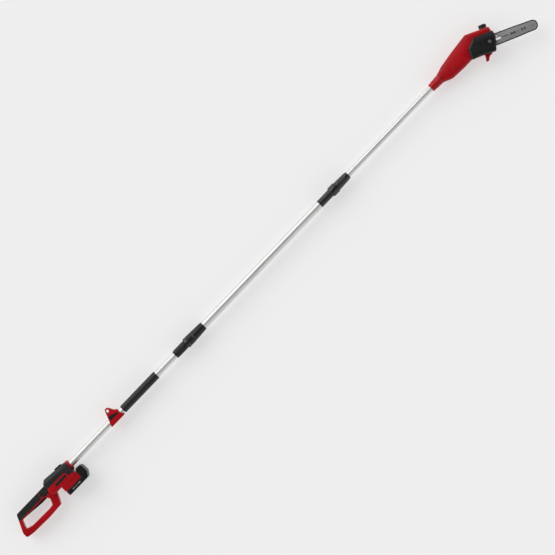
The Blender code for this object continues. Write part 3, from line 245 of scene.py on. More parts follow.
def bar_plate(name):
    """The guide bar's satin steel, darker in soft clouds and small spots, and rubbed clean in streaks."""
    made = Finish(name, Metallic=0.45, Anisotropic=0.3)
    along = made.stretched((0.02, 1.0, 1.0), -TILT)
    fine = made.grain(0.0012, 4.0, 0.6, along)
    cloud = made.grain(0.03, 4.0, 0.6)
    spots = made.steps(made.grain(0.0022, 2.0), 0.66, 0.76)
    made.feed(Base_Color=made.blend(made.steps(cloud, 0.35, 0.75) * 0.35 + spots * 0.25,
                                    (0.400, 0.400, 0.405), (0.29, 0.29, 0.295)))
    made.feed(Roughness=0.40 + (fine - 0.5) * 0.2 + (cloud - 0.5) * 0.15)
    made.bump(fine + spots * 0.5, 0.12, 0.0001)
    return made.material


def printed_label(name, colour, roughness=0.35):
    """A thin film with a faint weave and small scratches."""
    made = Finish(name, Coat_Weight=0.3, Coat_Roughness=0.15)
    weave = made.grain(0.0006, 1.0)
    worn = made.steps(made.grain(0.004, 4.0, 0.7), 0.62, 0.72)
    made.feed(Base_Color=made.blend(worn * 0.25, colour, tuple(0.25 + 0.5 * c for c in colour)))
    made.feed(Roughness=roughness + (weave - 0.5) * 0.1 + worn * 0.15)
    made.bump(weave, 0.08, 0.0001)
    return made.material


RED = moulded("red_shell", (0.490, 0.0045, 0.011), (0.395, 0.0025, 0.008), 0.36, 0.0010, 0.16,
              (0.44, 0.04, 0.03), 0.20, 0.06, 0.0, 0.22)
BLACK = moulded("black_shell", (0.0105, 0.0102, 0.0108), (0.0070, 0.0068, 0.0072), 0.40, 0.0009, 0.22,
                (0.06, 0.06, 0.06), 0.30, 0.05)
SOFT = moulded("soft_skin", (0.0135, 0.0132, 0.0140), (0.0095, 0.0093, 0.0098), 0.52, 0.0007, 0.45,
               (0.07, 0.07, 0.07), 0.25, 0.0, 0.03)
GREY = moulded("grey_shell", (0.055, 0.053, 0.058), (0.040, 0.039, 0.043), 0.45, 0.0009, 0.2)
TANK = moulded("oil_tank_shell", (0.55, 0.53, 0.46), (0.44, 0.41, 0.33), 0.35, 0.002, 0.1)
SLEEVE = moulded("cell_sleeve", (0.03, 0.20, 0.24), (0.02, 0.13, 0.17), 0.35, 0.003, 0.1)
BOARD = moulded("circuit_board", (0.02, 0.14, 0.05), (0.012, 0.09, 0.035), 0.4, 0.002, 0.1)
RUBBER = moulded("lead_rubber", (0.014, 0.014, 0.014), (0.010, 0.010, 0.010), 0.6, 0.0008, 0.3)
FOAM = closed_foam("foam_sleeve")
TUBE = drawn_metal("satin_tube", (0.74, 0.735, 0.725), 0.42, 0.0, 0.0011, 0.10, 0.10, 0.75)
STEEL = drawn_metal("ground_steel", (0.42, 0.42, 0.43), 0.33, 0.0, 0.0008, 0.25)
BAR = bar_plate("bar_steel")
CHAIN = oiled_chain("chain_steel")
GLOSS = moulded("black_gloss", (0.0100, 0.0098, 0.0104), (0.0070, 0.0068, 0.0072), 0.27, 0.0009, 0.10,
                (0.07, 0.07, 0.07), 0.30, 0.20, 0.0, 0.5)
LABEL = printed_label("label_film", (0.012, 0.012, 0.013))
MARK = printed_label("label_mark", (0.34, 0.30, 0.30), 0.4)
PRINT = printed_label("bar_print", (0.045, 0.045, 0.050), 0.45)


# ---- Modelling --------------------------------------------------------------------------------

def face_outwards(bm):
    """Turns every face of a closed mesh outwards."""
    bmesh.ops.recalc_face_normals(bm, faces=bm.faces)
    if bm.calc_volume(signed=True) < 0:
        bmesh.ops.reverse_faces(bm, faces=bm.faces)


def added(name, data):
    """A new object in the scene, at the origin."""
    made = bpy.data.objects.new(name, data)
    bpy.context.scene.collection.objects.link(made)
    return made


def as_object(name, bm):
    """Puts a finished bmesh into the scene."""
    mesh = bpy.data.meshes.new(name)
    bm.to_mesh(mesh)
    bm.free()
    return added(name, mesh)


def piece(name, bm, material, body, hides=(), place=None, sharp=35.0):
    """Closes a mesh into an object that rides on a body and stands for CAD nodes.

    Edges that turn by more than the sharp angle, in degrees, are shaded as edges.
    """
    if place is not None:
        bmesh.ops.transform(bm, matrix=place, verts=bm.verts)
    bmesh.ops.remove_doubles(bm, verts=bm.verts, dist=1e-6)
    face_outwards(bm)
    for face in bm.faces:
        face.smooth = True
    for edge in bm.edges:
        if len(edge.link_faces) == 2 and edge.calc_face_angle(0.0) > math.radians(sharp):
            edge.smooth = False
    made = as_object(name, bm)
    made.data.materials.append(material)
    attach(made, body)
    if hides:
        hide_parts(*hides)
    return made


def join(*parts):
    """One mesh out of several."""
    whole = bmesh.new()
    for part in parts:
        mesh = bpy.data.meshes.new("part")
        part.to_mesh(mesh)
        part.free()
        whole.from_mesh(mesh)
        bpy.data.meshes.remove(mesh)
    return whole


def turned(profile, steps=ROUND, place=None):
    """Solid of revolution about X, through (x, radius) corners that run from rear to front."""
    bm = bmesh.new()
    verts = [bm.verts.new((x, 0.0, r)) for x, r in profile]
    edges = [bm.edges.new(pair) for pair in zip(verts, verts[1:])]
    bmesh.ops.spin(bm, geom=verts + edges, axis=(1, 0, 0), cent=(0, 0, 0), steps=steps,
                   angle=math.tau, use_duplicate=False)
    bmesh.ops.remove_doubles(bm, verts=bm.verts, dist=1e-7)
    bmesh.ops.holes_fill(bm, edges=[e for e in bm.edges if e.is_boundary])
    if place is not None:
        bmesh.ops.transform(bm, matrix=place, verts=bm.verts)
    return bm


def arc(corner, to_before, to_after, reach, steps):
    """A round that starts and ends this far from a corner, along its two sides."""
    start, end = corner + to_before.normalized() * reach, corner + to_after.normalized() * reach
    return [start * (1 - t) ** 2 + corner * 2 * t * (1 - t) + end * t * t
            for t in [k / steps for k in range(steps + 1)]]


def eased(profile, radius, steps=5):
    """The profile with each inner corner rounded off."""
    points = [Vector(p) for p in profile]
    out = [points[0]]
    for before, corner, after in zip(points, points[1:], points[2:]):
        to_before, to_after = before - corner, after - corner
        reach = min(radius, to_before.length * 0.45, to_after.length * 0.45)
        out += arc(corner, to_before, to_after, reach, steps)
    out.append(points[-1])
    return out


def around(corners, radius=None, steps=8):
    """Closed outline through (x, y, radius) corners, each rounded off."""
    out = []
    count = len(corners)
    for i in range(count):
        corner = Vector(corners[i][:2])
        before, after = Vector(corners[i - 1][:2]) - corner, Vector(corners[(i + 1) % count][:2]) - corner
        turn = corners[i][2] if radius is None else radius
        if turn <= 0:
            out.append(corner)
            continue
        half = before.angle(after) / 2
        reach = min(turn / math.tan(half), before.length * 0.48, after.length * 0.48)
        out += arc(corner, before, after, reach, steps)
    return out


def patch(left, low, right, high, radius, steps=8):
    """Rectangle with rounded corners."""
    return around([(left, low), (right, low), (right, high), (left, high)], radius, steps)


def ring(x, y, reach, count):
    """Round outline about a centre. Its reach is a radius, or a function of the angle."""
    out = []
    for a in [math.tau * k / count for k in range(count)]:
        r = reach(a) if callable(reach) else reach
        out.append((x + r * math.cos(a), y + r * math.sin(a)))
    return out


def rounded_edges(bm, edges, width, segments):
    """Rounds the given edges of a mesh."""
    bmesh.ops.bevel(bm, geom=edges, offset=width, offset_type="OFFSET", affect="EDGES",
                    segments=segments, profile=0.5, material=-1, clamp_overlap=True)


def plate(outline, low, high, edge=0.0, holes=(), under=0.0, segments=5):
    """A slab between two heights, its upper and lower rims rounded by edge and under."""
    bm = bmesh.new()
    for loop in (outline, *holes):
        verts = [bm.verts.new((*point[:2], low)) for point in loop]
        for pair in zip(verts, verts[1:] + verts[:1]):
            bm.edges.new(pair)
    bmesh.ops.triangle_fill(bm, edges=bm.edges, use_beauty=True)
    if edge or under:
        bmesh.ops.dissolve_limit(bm, angle_limit=0.01, verts=bm.verts, edges=bm.edges)
    raised = bmesh.ops.extrude_face_region(bm, geom=bm.faces[:], use_keep_orig=True)
    tops = [v for v in raised["geom"] if isinstance(v, bmesh.types.BMVert)]
    bmesh.ops.translate(bm, verts=tops, vec=(0, 0, high - low))
    bmesh.ops.recalc_face_normals(bm, faces=bm.faces)
    for height, width in ((high, edge), (low, under)):
        if width:
            rim = [e for e in bm.edges if all(abs(v.co.z - height) < 1e-7 for v in e.verts)
                   and any(abs(f.normal.z) < 0.5 for f in e.link_faces)]
            rounded_edges(bm, rim, width, segments)
    return bm


def skin_over(rings):
    """A skin over rings that all have the same number of corners, and each ring's parts."""
    bm = bmesh.new()
    loops = []
    for corners in rings:
        verts = [bm.verts.new(point) for point in corners]
        edges = [bm.edges.new(pair) for pair in zip(verts, verts[1:] + verts[:1])]
        loops.append((verts, edges))
    for (first, _), (second, _) in zip(loops, loops[1:]):
        for i in range(len(first)):
            j = (i + 1) % len(first)
            bm.faces.new((first[i], first[j], second[j], second[i]))
    return bm, loops


def loft(rings):
    """A solid over rings of corners, with flat ends."""
    bm, loops = skin_over(rings)
    bm.faces.new(loops[0][0])
    bm.faces.new(loops[-1][0])
    return bm


def box(low, high, edge=0.0, segments=4):
    """A block with rounded edges."""
    bm = bmesh.new()
    bmesh.ops.create_cube(bm, size=1.0)
    size = Vector(high) - Vector(low)
    bmesh.ops.scale(bm, verts=bm.verts, vec=size)
    bmesh.ops.translate(bm, verts=bm.verts, vec=(Vector(high) + Vector(low)) / 2)
    if edge:
        rounded_edges(bm, bm.edges[:], edge, segments)
    return bm


def rod(rear, front, radius, steps=ROUND, place=None):
    """A plain round bar along X."""
    return turned([(rear, 0.0), (rear, radius), (front, radius), (front, 0.0)], steps, place)


def post(radius, low, high, x, y, edge=0.0, steps=40):
    """An upright round piece with eased ends."""
    profile = [(low, 0.0), (low, radius), (high, radius), (high, 0.0)]
    upright = Matrix.Translation((x, y, 0.0)) @ Matrix.Rotation(math.radians(-90), 4, "Y")
    return turned(eased(profile, edge) if edge else profile, steps, upright)


def cut(target, *tools):
    """Takes closed meshes out of a closed mesh."""
    face_outwards(target)
    size = target.calc_volume(signed=True)
    made = as_object("target", target)
    helpers = []
    for bm in tools:
        face_outwards(bm)
        helper = as_object("tool", bm)
        bite = made.modifiers.new("bite", "BOOLEAN")
        bite.operation, bite.solver, bite.object = "DIFFERENCE", "EXACT", helper
        helpers.append(helper)
    bpy.context.view_layer.update()
    whole = bmesh.new()
    whole.from_object(made, bpy.context.evaluated_depsgraph_get())
    if not 0.0 < whole.calc_volume(signed=True) <= size * 1.001:
        raise ValueError("a cut left nothing, or more than there was")
    for helper in [made, *helpers]:
        bpy.data.objects.remove(helper, do_unlink=True)
    return whole


# ---- Pole -------------------------------------------------------------------------------------

TO_AXIS = Matrix.Translation((0.0, 0.0, AXIS))
TUBE_WALL = 0.0015
TUBE_EASE = 0.0003          # chamfer of a tube's ends
FIT = 0.0003                # play between a tube and what sits round it
NUT_PLAY = 0.0030           # room for the collet between a nut and its tube


def radius_of(node):
    """Outer radius of a turned node."""
    return (span(node, 2)[1] - span(node, 2)[0]) / 2


def pole_tube(node, name, body, degrees, half, depth):
    """A drawn tube with eased ends and one shallow lengthwise groove rolled in.

    The groove is placed by its turn about X, and has a half width in radians and a depth.
    """
    rear, front = span(node)
    radius = radius_of(node)
    stations = [(rear, radius - TUBE_WALL), (rear, radius - TUBE_EASE), (rear + TUBE_EASE, radius),
                (front - TUBE_EASE, radius), (front, radius - TUBE_EASE), (front, radius - TUBE_WALL)]
    bm = bmesh.new()
    verts = [bm.verts.new((x, 0.0, r)) for x, r in stations]
    edges = [bm.edges.new(pair) for pair in zip(verts, verts[1:] + verts[:1])]
    bmesh.ops.spin(bm, geom=verts + edges, axis=(1, 0, 0), cent=(0, 0, 0), steps=144,
                   angle=math.tau, use_duplicate=False)
    bmesh.ops.remove_doubles(bm, verts=bm.verts, dist=1e-7)
    angle = math.radians(degrees)
    for v in bm.verts:
        off = abs((math.atan2(v.co.z, v.co.y) - angle + math.pi) % math.tau - math.pi)
        if off < half and v.co.yz.length > radius - TUBE_WALL / 2:
            sink = depth * math.cos(off / half * math.pi / 2)
            v.co.y -= sink * math.cos(angle)
            v.co.z -= sink * math.sin(angle)
    piece(name, bm, TUBE, body, (node,), TO_AXIS, 22.0)


def flat_band(bm, radius, turn, depth, low, high):
    """Shaves a flat along the outside of a turned mesh, facing the given turn about X."""
    for v in bm.verts:
        if low <= v.co.x <= high:
            y, z = v.co.y, v.co.z
            out = y * math.cos(turn) + z * math.sin(turn)
            if out > radius - depth:
                v.co.y -= math.cos(turn) * (out - radius + depth)
                v.co.z -= math.sin(turn) * (out - radius + depth)


def fluted(profile, ribs, depth, low, high, steps=144, place=TO_AXIS):
    """A turned piece whose outside carries lengthwise flutes between two places."""
    bm = turned(profile, steps)
    outer = max(r for _, r in profile)
    for v in bm.verts:
        r = v.co.yz.length
        if low - 1e-6 <= v.co.x <= high + 1e-6 and r > outer * 0.86:
            ease = min(1.0, (v.co.x - low) / 0.004, (high - v.co.x) / 0.004)
            wave = 0.5 - 0.5 * math.cos(math.atan2(v.co.z, v.co.y) * ribs)
            keep = 1.0 - depth * max(0.0, ease) * wave ** 2 / r
            v.co.y *= keep
            v.co.z *= keep
    if place is not None:
        bmesh.ops.transform(bm, matrix=place, verts=bm.verts)
    return bm


def stretched_profile(points, low, high, count):
    """Adds stations along a straight run of a profile, so that its outside can be shaped."""
    out = []
    for (x0, r0), (x1, r1) in zip(points, points[1:]):
        out.append((x0, r0))
        if x0 <= low + 1e-6 and x1 >= high - 1e-6:
            out += [(x0 + (x1 - x0) * k / count, r0 + (r1 - r0) * k / count) for k in range(1, count)]
    return out + [points[-1]]


def pole():
    """Three tubes, the foam grip, the two twist locks and the leads."""
    pole_tube("tube_lower", "lower_tube", "root", 72, 0.10, 0.0004)
    pole_tube("tube_middle", "middle_tube", "middle", 151, 0.07, 0.0005)
    pole_tube("tube_upper", "upper_tube", "head", 118, 0.10, 0.0004)
    rear, front = span("front_grip")
    radius = radius_of("front_grip")
    bore = radius_of("tube_lower") + FIT
    ends = [(rear, bore), (rear, radius - 0.0026), (rear + 0.0006, radius - 0.0012),
            (rear + 0.0022, radius), (front - 0.0022, radius), (front - 0.0006, radius - 0.0012),
            (front, radius - 0.0026), (front, bore)]
    piece("foam_grip", turned(ends, 96), FOAM, "root", ("front_grip",), TO_AXIS)
    lower_lock()
    upper_lock()
    for node, name, body in (("lead_lower", "rear_lead", "root"), ("lead_upper", "front_lead", "head")):
        rear, front = span(node)
        r = radius_of(node)
        piece(name, turned(eased([(rear, 0), (rear, r), (front, r), (front, 0)], 0.0005), 24),
              RUBBER, body, (node,), TO_AXIS)
    coil()


def coil():
    """The coiled lead inside the middle tube, which shortens as the pole is pushed together."""
    rear, front = span("coiled_lead")
    wire = 0.0021
    centre = radius_of("coiled_lead") - wire
    turns, per_turn, sides = 84, 20, 8
    total = turns * per_turn
    rings = []
    for k in range(total + 1):
        a = math.tau * k / per_turn
        x = rear + wire + (front - rear - 2 * wire) * k / total
        out = Vector((0.0, math.cos(a), math.sin(a)))
        rings.append([Vector((x, 0.0, 0.0)) + out * (centre + wire * math.cos(b))
                      + Vector((wire * math.sin(b), 0.0, 0.0))
                      for b in [math.tau * i / sides for i in range(sides)]])
    made = piece("coil", loft(rings), RUBBER, "middle", ("coiled_lead",), TO_AXIS, 60.0)
    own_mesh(made)


def lower_lock():
    """The lower twist lock: a waisted nut, and a tapering body with a dark rear rim."""
    rear, front = span("lower_lock_nut")
    r = radius_of("lower_lock_nut")
    bore = radius_of("tube_lower") + NUT_PLAY
    profile = [(rear, bore), (rear, r - 0.0016), (rear + 0.003, r - 0.0004), (rear + 0.0045, r - 0.0012),
               (rear + 0.0065, r - 0.0012), (rear + 0.008, r - 0.0003), (front - 0.007, r - 0.0001),
               (front - 0.0062, r - 0.0010), (front - 0.0050, r - 0.0010), (front - 0.0042, r),
               (front - 0.001, r), (front, r - 0.0007), (front, bore)]
    profile = stretched_profile(profile, rear + 0.008, front - 0.007, 12)
    piece("lower_nut_body", fluted(profile, 24, 0.0006, rear + 0.008, front - 0.007), BLACK,
          "lower_nut", ("lower_lock_nut",))
    rear, front = span("lower_lock_nut")[1] + 0.0004, span("lower_clamp_body")[1]
    r = radius_of("lower_clamp_body")
    tube = radius_of("tube_middle")
    bore = tube + FIT
    body = [(rear + 0.0172, bore), (rear + 0.0172, r - 0.0006), (rear + 0.0180, r - 0.0002),
            (rear + 0.041, r - 0.0010), (rear + 0.0422, r - 0.0017), (rear + 0.0434, r - 0.0017),
            (rear + 0.0440, r - 0.0012), (rear + 0.070, tube + 0.0038), (front - 0.008, tube + 0.0027),
            (front - 0.0075, tube + 0.0022), (front - 0.0015, tube + 0.0018),
            (front - 0.0003, tube + 0.0012), (front, bore)]
    body = stretched_profile(body, rear + 0.018, rear + 0.041, 6)
    body = stretched_profile(body, rear + 0.044, rear + 0.070, 8)
    bm = turned(eased(body, 0.0004, 3), 96)
    for degrees in (90, 270):
        flat_band(bm, r, math.radians(degrees), 0.0016, rear + 0.0178, rear + 0.0705)
    piece("lower_clamp_sleeve", bm, BLACK, "middle", ("lower_clamp_body",), TO_AXIS)
    rim = [(rear, bore), (rear, r - 0.0022), (rear + 0.0018, r - 0.0004), (rear + 0.0045, r),
           (rear + 0.0135, r), (rear + 0.0155, r - 0.0005), (rear + 0.0168, r - 0.0016),
           (rear + 0.0168, bore)]
    rim = stretched_profile(rim, rear + 0.0045, rear + 0.0135, 8)
    piece("lower_clamp_rim", fluted(rim, 30, 0.0004, rear + 0.004, rear + 0.014), GLOSS,
          "middle")
    x = rear + 0.0428
    stripe = [(x - 0.0004, r - 0.0020), (x - 0.0004, r - 0.00158), (x + 0.0004, r - 0.00158),
              (x + 0.0004, r - 0.0020)]
    bow = [[Vector((along, out * math.cos(angle), out * math.sin(angle))) for along, out in stripe]
           for angle in [math.radians(90 + turn) for turn in range(-26, 27, 4)]]
    piece("lower_clamp_mark", loft(bow), MARK, "middle", (), TO_AXIS)


def upper_lock():
    """The upper twist lock: a ribbed sleeve with a swollen front, and a nut that narrows forward."""
    rear, front = span("upper_clamp_body")[0], span("upper_lock_nut")[0] - 0.0003
    r = radius_of("upper_clamp_body")
    tube = radius_of("tube_middle")
    bore = tube + FIT
    low, high = rear + 0.006, front - 0.036
    body = [(rear, bore), (rear, tube + 0.0008), (rear + 0.0012, tube + 0.0017), (low, tube + 0.0017),
            (high, tube + 0.0017), (front - 0.030, r - 0.0004), (front - 0.027, r), (front - 0.004, r),
            (front - 0.0015, r - 0.0006), (front, r - 0.0025), (front, bore)]
    bm = turned(stretched_profile(body, low, high, 56), 96)
    ribs, rib_depth = 14, 0.0007
    for v in bm.verts:
        if low < v.co.x < high and v.co.yz.length > tube + 0.001:
            wave = math.sin((v.co.x - low) / (high - low) * math.pi * ribs) ** 2
            v.co.yz *= 1.0 - rib_depth * wave / v.co.yz.length
    piece("upper_clamp_sleeve", bm, GLOSS, "middle", ("upper_clamp_body",), TO_AXIS)
    rear, front = span("upper_lock_nut")
    r = radius_of("upper_lock_nut")
    bore = radius_of("tube_upper") + NUT_PLAY
    nut = [(rear, bore), (rear, r - 0.0012), (rear + 0.0012, r - 0.0001), (rear + 0.0085, r - 0.0002),
           (rear + 0.0095, r - 0.0010), (rear + 0.0105, r - 0.0010), (rear + 0.0115, r - 0.0004),
           (front - 0.014, r - 0.0020), (front - 0.006, r - 0.0028), (front - 0.002, r - 0.0040),
           (front, bore + 0.0009), (front, bore)]
    nut = stretched_profile(nut, rear + 0.0115, front - 0.014, 14)
    piece("upper_nut_body", fluted(nut, 20, 0.0007, rear + 0.0115, front - 0.014), GLOSS,
          "upper_nut", ("upper_lock_nut",))


def strap_bracket():
    """Carrying bracket: a triangular housing round the tube with an eye, black sheets of painted shade in
    its two recesses, and its clamping knob.
    """
    rear, front = span("strap_bracket")
    low, high = span("strap_bracket", 1)
    half = radius_of("strap_bracket")
    outline = around([(rear, low, 0.003), (front, low, 0.0025), (front - 0.0100, 0.0007, 0.006),
                      (front - 0.0085, 0.0180, 0.0012), (front - 0.0105, 0.0200, 0.0012),
                      (front - 0.0185, 0.0245, 0.002), (front - 0.0300, high - 0.006, 0.006),
                      (front - 0.0370, high, 0.006), (front - 0.0455, high - 0.0025, 0.006),
                      (rear + 0.0035, low + 0.0105, 0.003)])
    eye = ring(rear + 0.033, 0.0404, 0.0065, 40)
    body = plate(outline, AXIS - half, AXIS + half, 0.0034, (eye,), 0.0034)
    tools = [rod(rear - 0.01, front + 0.01, radius_of("tube_lower") + 0.0004, 96, TO_AXIS)]
    recess = around([(rear + 0.0165, 0.0040), (front - 0.0155, 0.0040), (front - 0.0155, 0.0085),
                     (rear + 0.0300, 0.0205), (rear + 0.0165, 0.0205)], 0.0025)
    # Outline of the black sheets set into the recesses: painted shade, standing for the dark shade in the
    # recess above the tube.
    recess_shade = around([(rear + 0.0170, 0.0045), (front - 0.0160, 0.0045), (front - 0.0160, 0.0082),
                    (rear + 0.0297, 0.0200), (rear + 0.0170, 0.0200)], 0.0022)
    sunk = half - 0.0022        # floor of the recess, from the axis
    for side in (-1, 1):
        tools.append(plate(recess, *sorted((AXIS + side * sunk, AXIS + side * (half + 0.002)))))
    piece("bracket_body", cut(body, *tools), RED, "strap", ("strap_bracket",), sharp=30.0)
    # Painted shade: a black sheet sunk into each recess.
    for side, name in ((-1, "bracket_recess_shade_left"), (1, "bracket_recess_shade_right")):
        ends = sorted((AXIS + side * sunk, AXIS + side * (half - 0.0006)))
        piece(name, plate(recess_shade, *ends, 0.0005, under=0.0005), BLACK, "strap")
    bracket_screw()


def bracket_screw():
    """The clamping knob: the CAD's own shape with its sharp edges rounded."""
    bm = bmesh.new()
    bm.from_mesh(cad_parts["strap_screw"].data)
    bmesh.ops.remove_doubles(bm, verts=bm.verts, dist=1e-6)
    bmesh.ops.dissolve_limit(bm, angle_limit=0.002, verts=bm.verts, edges=bm.edges)
    rim = [e for e in bm.edges if len(e.link_faces) == 2 and e.is_convex
           and e.calc_face_angle(0.0) > math.radians(40)]
    rounded_edges(bm, rim, 0.0004, 3)
    bmesh.ops.triangulate(bm, faces=[f for f in bm.faces if len(f.verts) > 4])
    piece("bracket_screw", bm, STEEL, "strap", ("strap_screw",), sharp=28.0)


# ---- Rear unit --------------------------------------------------------------------------------

# Side outlines, as (x, y, corner radius).
BODY = [(0.060, -0.0260, 0.009), (0.060, 0.0232, 0.009), (-0.047, 0.0335, 0.012), (-0.064, 0.0200, 0.011),
        (-0.064, -0.0385, 0.009), (-0.018, -0.0385, 0), (0.056, -0.0385, 0.008)]
HOLLOW = [(0.054, -0.0250, 0.003), (0.054, 0.0140, 0.003), (-0.046, 0.0225, 0.004),
          (-0.058, 0.0150, 0.004), (-0.058, -0.0335, 0.003), (0.052, -0.0335, 0.003)]
LOOP = [(-0.034, 0.0163, 0), (-0.2236, 0.0163, 0.011), (-0.2316, -0.0016, 0.02), (-0.259, -0.054, 0.02),
        (-0.260, -0.078, 0.010), (-0.225, -0.084, 0.02), (-0.141, -0.087, 0.05),
        (-0.071, -0.0835, 0.008), (-0.046, -0.036, 0.008), (-0.034, -0.030, 0)]
OPENING = [(-0.224, -0.017, 0.006), (-0.239, -0.052, 0.008), (-0.213, -0.060, 0.02),
           (-0.115, -0.0625, 0.02), (-0.095, -0.060, 0.004), (-0.084, -0.037, 0.006),
           (-0.0925, -0.021, 0.003), (-0.097, -0.017, 0.002)]
SKIN_ON_BODY = [(0.0314, -0.0042, 0.005), (0.0364, -0.0263, 0.003), (0.100, -0.0263, 0),
                (0.100, 0.060, 0), (-0.200, 0.060, 0), (-0.200, -0.0017, 0)]
SKIN_BRIDGE = [(-0.0955, 0.030, 0), (-0.1064, -0.0048, 0.001), (-0.1000, -0.0115, 0.004),
               (-0.0935, -0.0165, 0.003), (-0.0712, -0.0165, 0.003), (-0.0700, -0.0065, 0.005),
               (-0.0600, -0.0015, 0), (-0.0500, -0.0015, 0), (-0.0500, 0.030, 0)]
SKIN_ON_GRIP = [(-0.1086, -0.0123, 0.002), (-0.0975, 0.050, 0), (-0.300, 0.050, 0),
                (-0.300, -0.0020, 0), (-0.2190, -0.0123, 0.010)]
BAY = [(-0.018, -0.036, 0), (-0.018, -0.065, 0.005), (0.066, -0.065, 0.0015), (0.066, -0.036, 0)]
LABEL_EDGE = [(-0.0295, -0.0225, 0.004), (0.0285, -0.0225, 0.004), (0.0285, -0.0115, 0.004),
              (-0.0295, -0.0115, 0.004)]

CASE_WALL = 0.0088
CASE_ROUND = 0.0068
SEAM = 0.00012              # half the gap where two shells meet
SKIN_GAP = 0.0002           # between a red shell and the skin beside it
GRIP_HALF = 0.0175          # half the width of the hand grip
GRIP_ROUND = 0.0062
FAR = 0.01                  # how far a cutter stands out of the surface that it sinks into


def grown(corners, by):
    """The closed outline moved outwards along its normals, or inwards where by is negative.

    Corners that carry a radius keep one that suits the new outline.
    """
    points = [Vector(p[:2]) for p in corners]
    area = sum(a.x * b.y - b.x * a.y for a, b in zip(points, points[1:] + points[:1]))
    side = 1.0 if area > 0 else -1.0
    out = []
    for i, point in enumerate(points):
        first = (point - points[i - 1]).normalized()
        second = (points[(i + 1) % len(points)] - point).normalized()
        along = (first + second).normalized()
        normal = Vector((along.y, -along.x)) * side
        moved = point + normal * (by / max(0.4, normal.dot(Vector((first.y, -first.x)) * side)))
        if len(corners[i]) == 3:
            radius = corners[i][2]
            moved = (*moved, max(0.0015, radius + by) if radius else 0.0)
        out.append(moved)
    return out


def beyond(corners):
    """A band that covers everything outside a region, near enough to the tool."""
    return plate([(-0.5, -0.4), (0.5, -0.4), (0.5, 0.4), (-0.5, 0.4)], -0.1, 0.2, holes=(around(corners),))


def wedge(first, second, width, depth, face, way=1.0):
    """Planes a slab's face off, falling by depth over a width, on the +Y side of a line.

    The way is 1 for a face that looks up and -1 for one that looks down.
    """
    first, second = Vector(first), Vector(second)
    along = (second - first).normalized()
    across = Vector((along.y, -along.x))
    if across.y < 0:
        across = -across
    start, end = first - along * 0.3, second + along * 0.3
    section = [(0.0, face), (width * 2, face - way * depth * 2), (width * 2, face + way * 0.05),
               (0.0, face + way * 0.05)]
    return loft([[Vector((*(base + across * w), z)) for w, z in section] for base in (start, end)])


def both_faces(outline, high, sunk):
    """Cutters that sink an outline into a slab's two faces, which lie at 0 and high."""
    return [plate(outline, -FAR, sunk), plate(outline, high - sunk, high + FAR)]


def rear_housing():
    """Red shells and the black skins moulded over them, with the bay for the battery."""
    def case():
        shell = plate(around(BODY), 0.0, SIDE, CASE_ROUND, (), CASE_ROUND, 6)
        slope = ((0.06, 0.0090), (-0.064, 0.0185), 0.0205, 0.0105)
        return cut(shell, plate(around(HOLLOW), CASE_WALL, SIDE - CASE_WALL, 0.002, (), 0.002, 2),
                   rod(0.02, 0.09, 0.0168, 96, TO_AXIS), wedge(*slope, SIDE), wedge(*slope, 0.0, -1.0),
                   box((-0.0103, -0.05, AXIS - 0.0163), (0.0043, -0.028, AXIS + 0.0163)))

    def seam():
        return plate([(-0.4, -0.2), (0.2, -0.2), (0.2, 0.2), (-0.4, 0.2)], AXIS - SEAM, AXIS + SEAM)

    label_seat = plate(grown(around(LABEL_EDGE), 0.0003), SIDE - 0.0012, SIDE + FAR)
    red = cut(case(), plate(grown(around(SKIN_ON_BODY), SKIN_GAP), -FAR, 0.1), seam(), label_seat)
    panel = around([(-0.0125, -0.0440, 0.0025), (-0.0125, -0.0605, 0.0045), (0.0630, -0.0605, 0.0015),
                    (0.0630, -0.0440, 0.0015)])
    walls = cut(plate(around(BAY), 0.0001, SIDE - 0.0001, 0.0014, (), 0.0014, 3),
                box((-0.015, -0.08, 0.0022), (0.08, -0.040, SIDE - 0.0022)),
                plate(panel, -FAR, 0.0008), plate(panel, SIDE - 0.0009, SIDE + FAR), seam())
    piece("rear_shells", join(red, walls), RED, "root", ("housing_left", "housing_right"),
          sharp=32.0)
    piece("body_cover", cut(case(), beyond(SKIN_ON_BODY)), SOFT, "root", ("body_skin",),
          sharp=32.0)


def grip():
    """The red loop and the black skin of the hand grip."""
    def whole():
        bm = plate(around(LOOP), AXIS - GRIP_HALF, AXIS + GRIP_HALF, GRIP_ROUND, (around(OPENING),),
                   GRIP_ROUND, 6)
        slot = box((-0.209, -0.05, AXIS - 0.0060), (-0.0915, -0.0030, AXIS + 0.0060))
        x, y = middle("lock_off_button").xy
        return cut(bm, slot, plate(patch(x - 0.0098, y - 0.0038, x + 0.0098, y + 0.0038, 0.002), 0.0, 0.1))

    red = cut(whole(), plate(grown(around(SKIN_ON_GRIP), SKIN_GAP), -FAR, 0.1),
              plate(grown(around(SKIN_BRIDGE), SKIN_GAP), -FAR, 0.1))
    piece("grip_bridge", cut(whole(), beyond(SKIN_BRIDGE)), SOFT, "root", sharp=32.0)
    piece("grip_loop", red, RED, "root", sharp=32.0)
    piece("grip_cover", cut(whole(), beyond(SKIN_ON_GRIP)), SOFT, "root", ("grip_skin",),
          sharp=32.0)


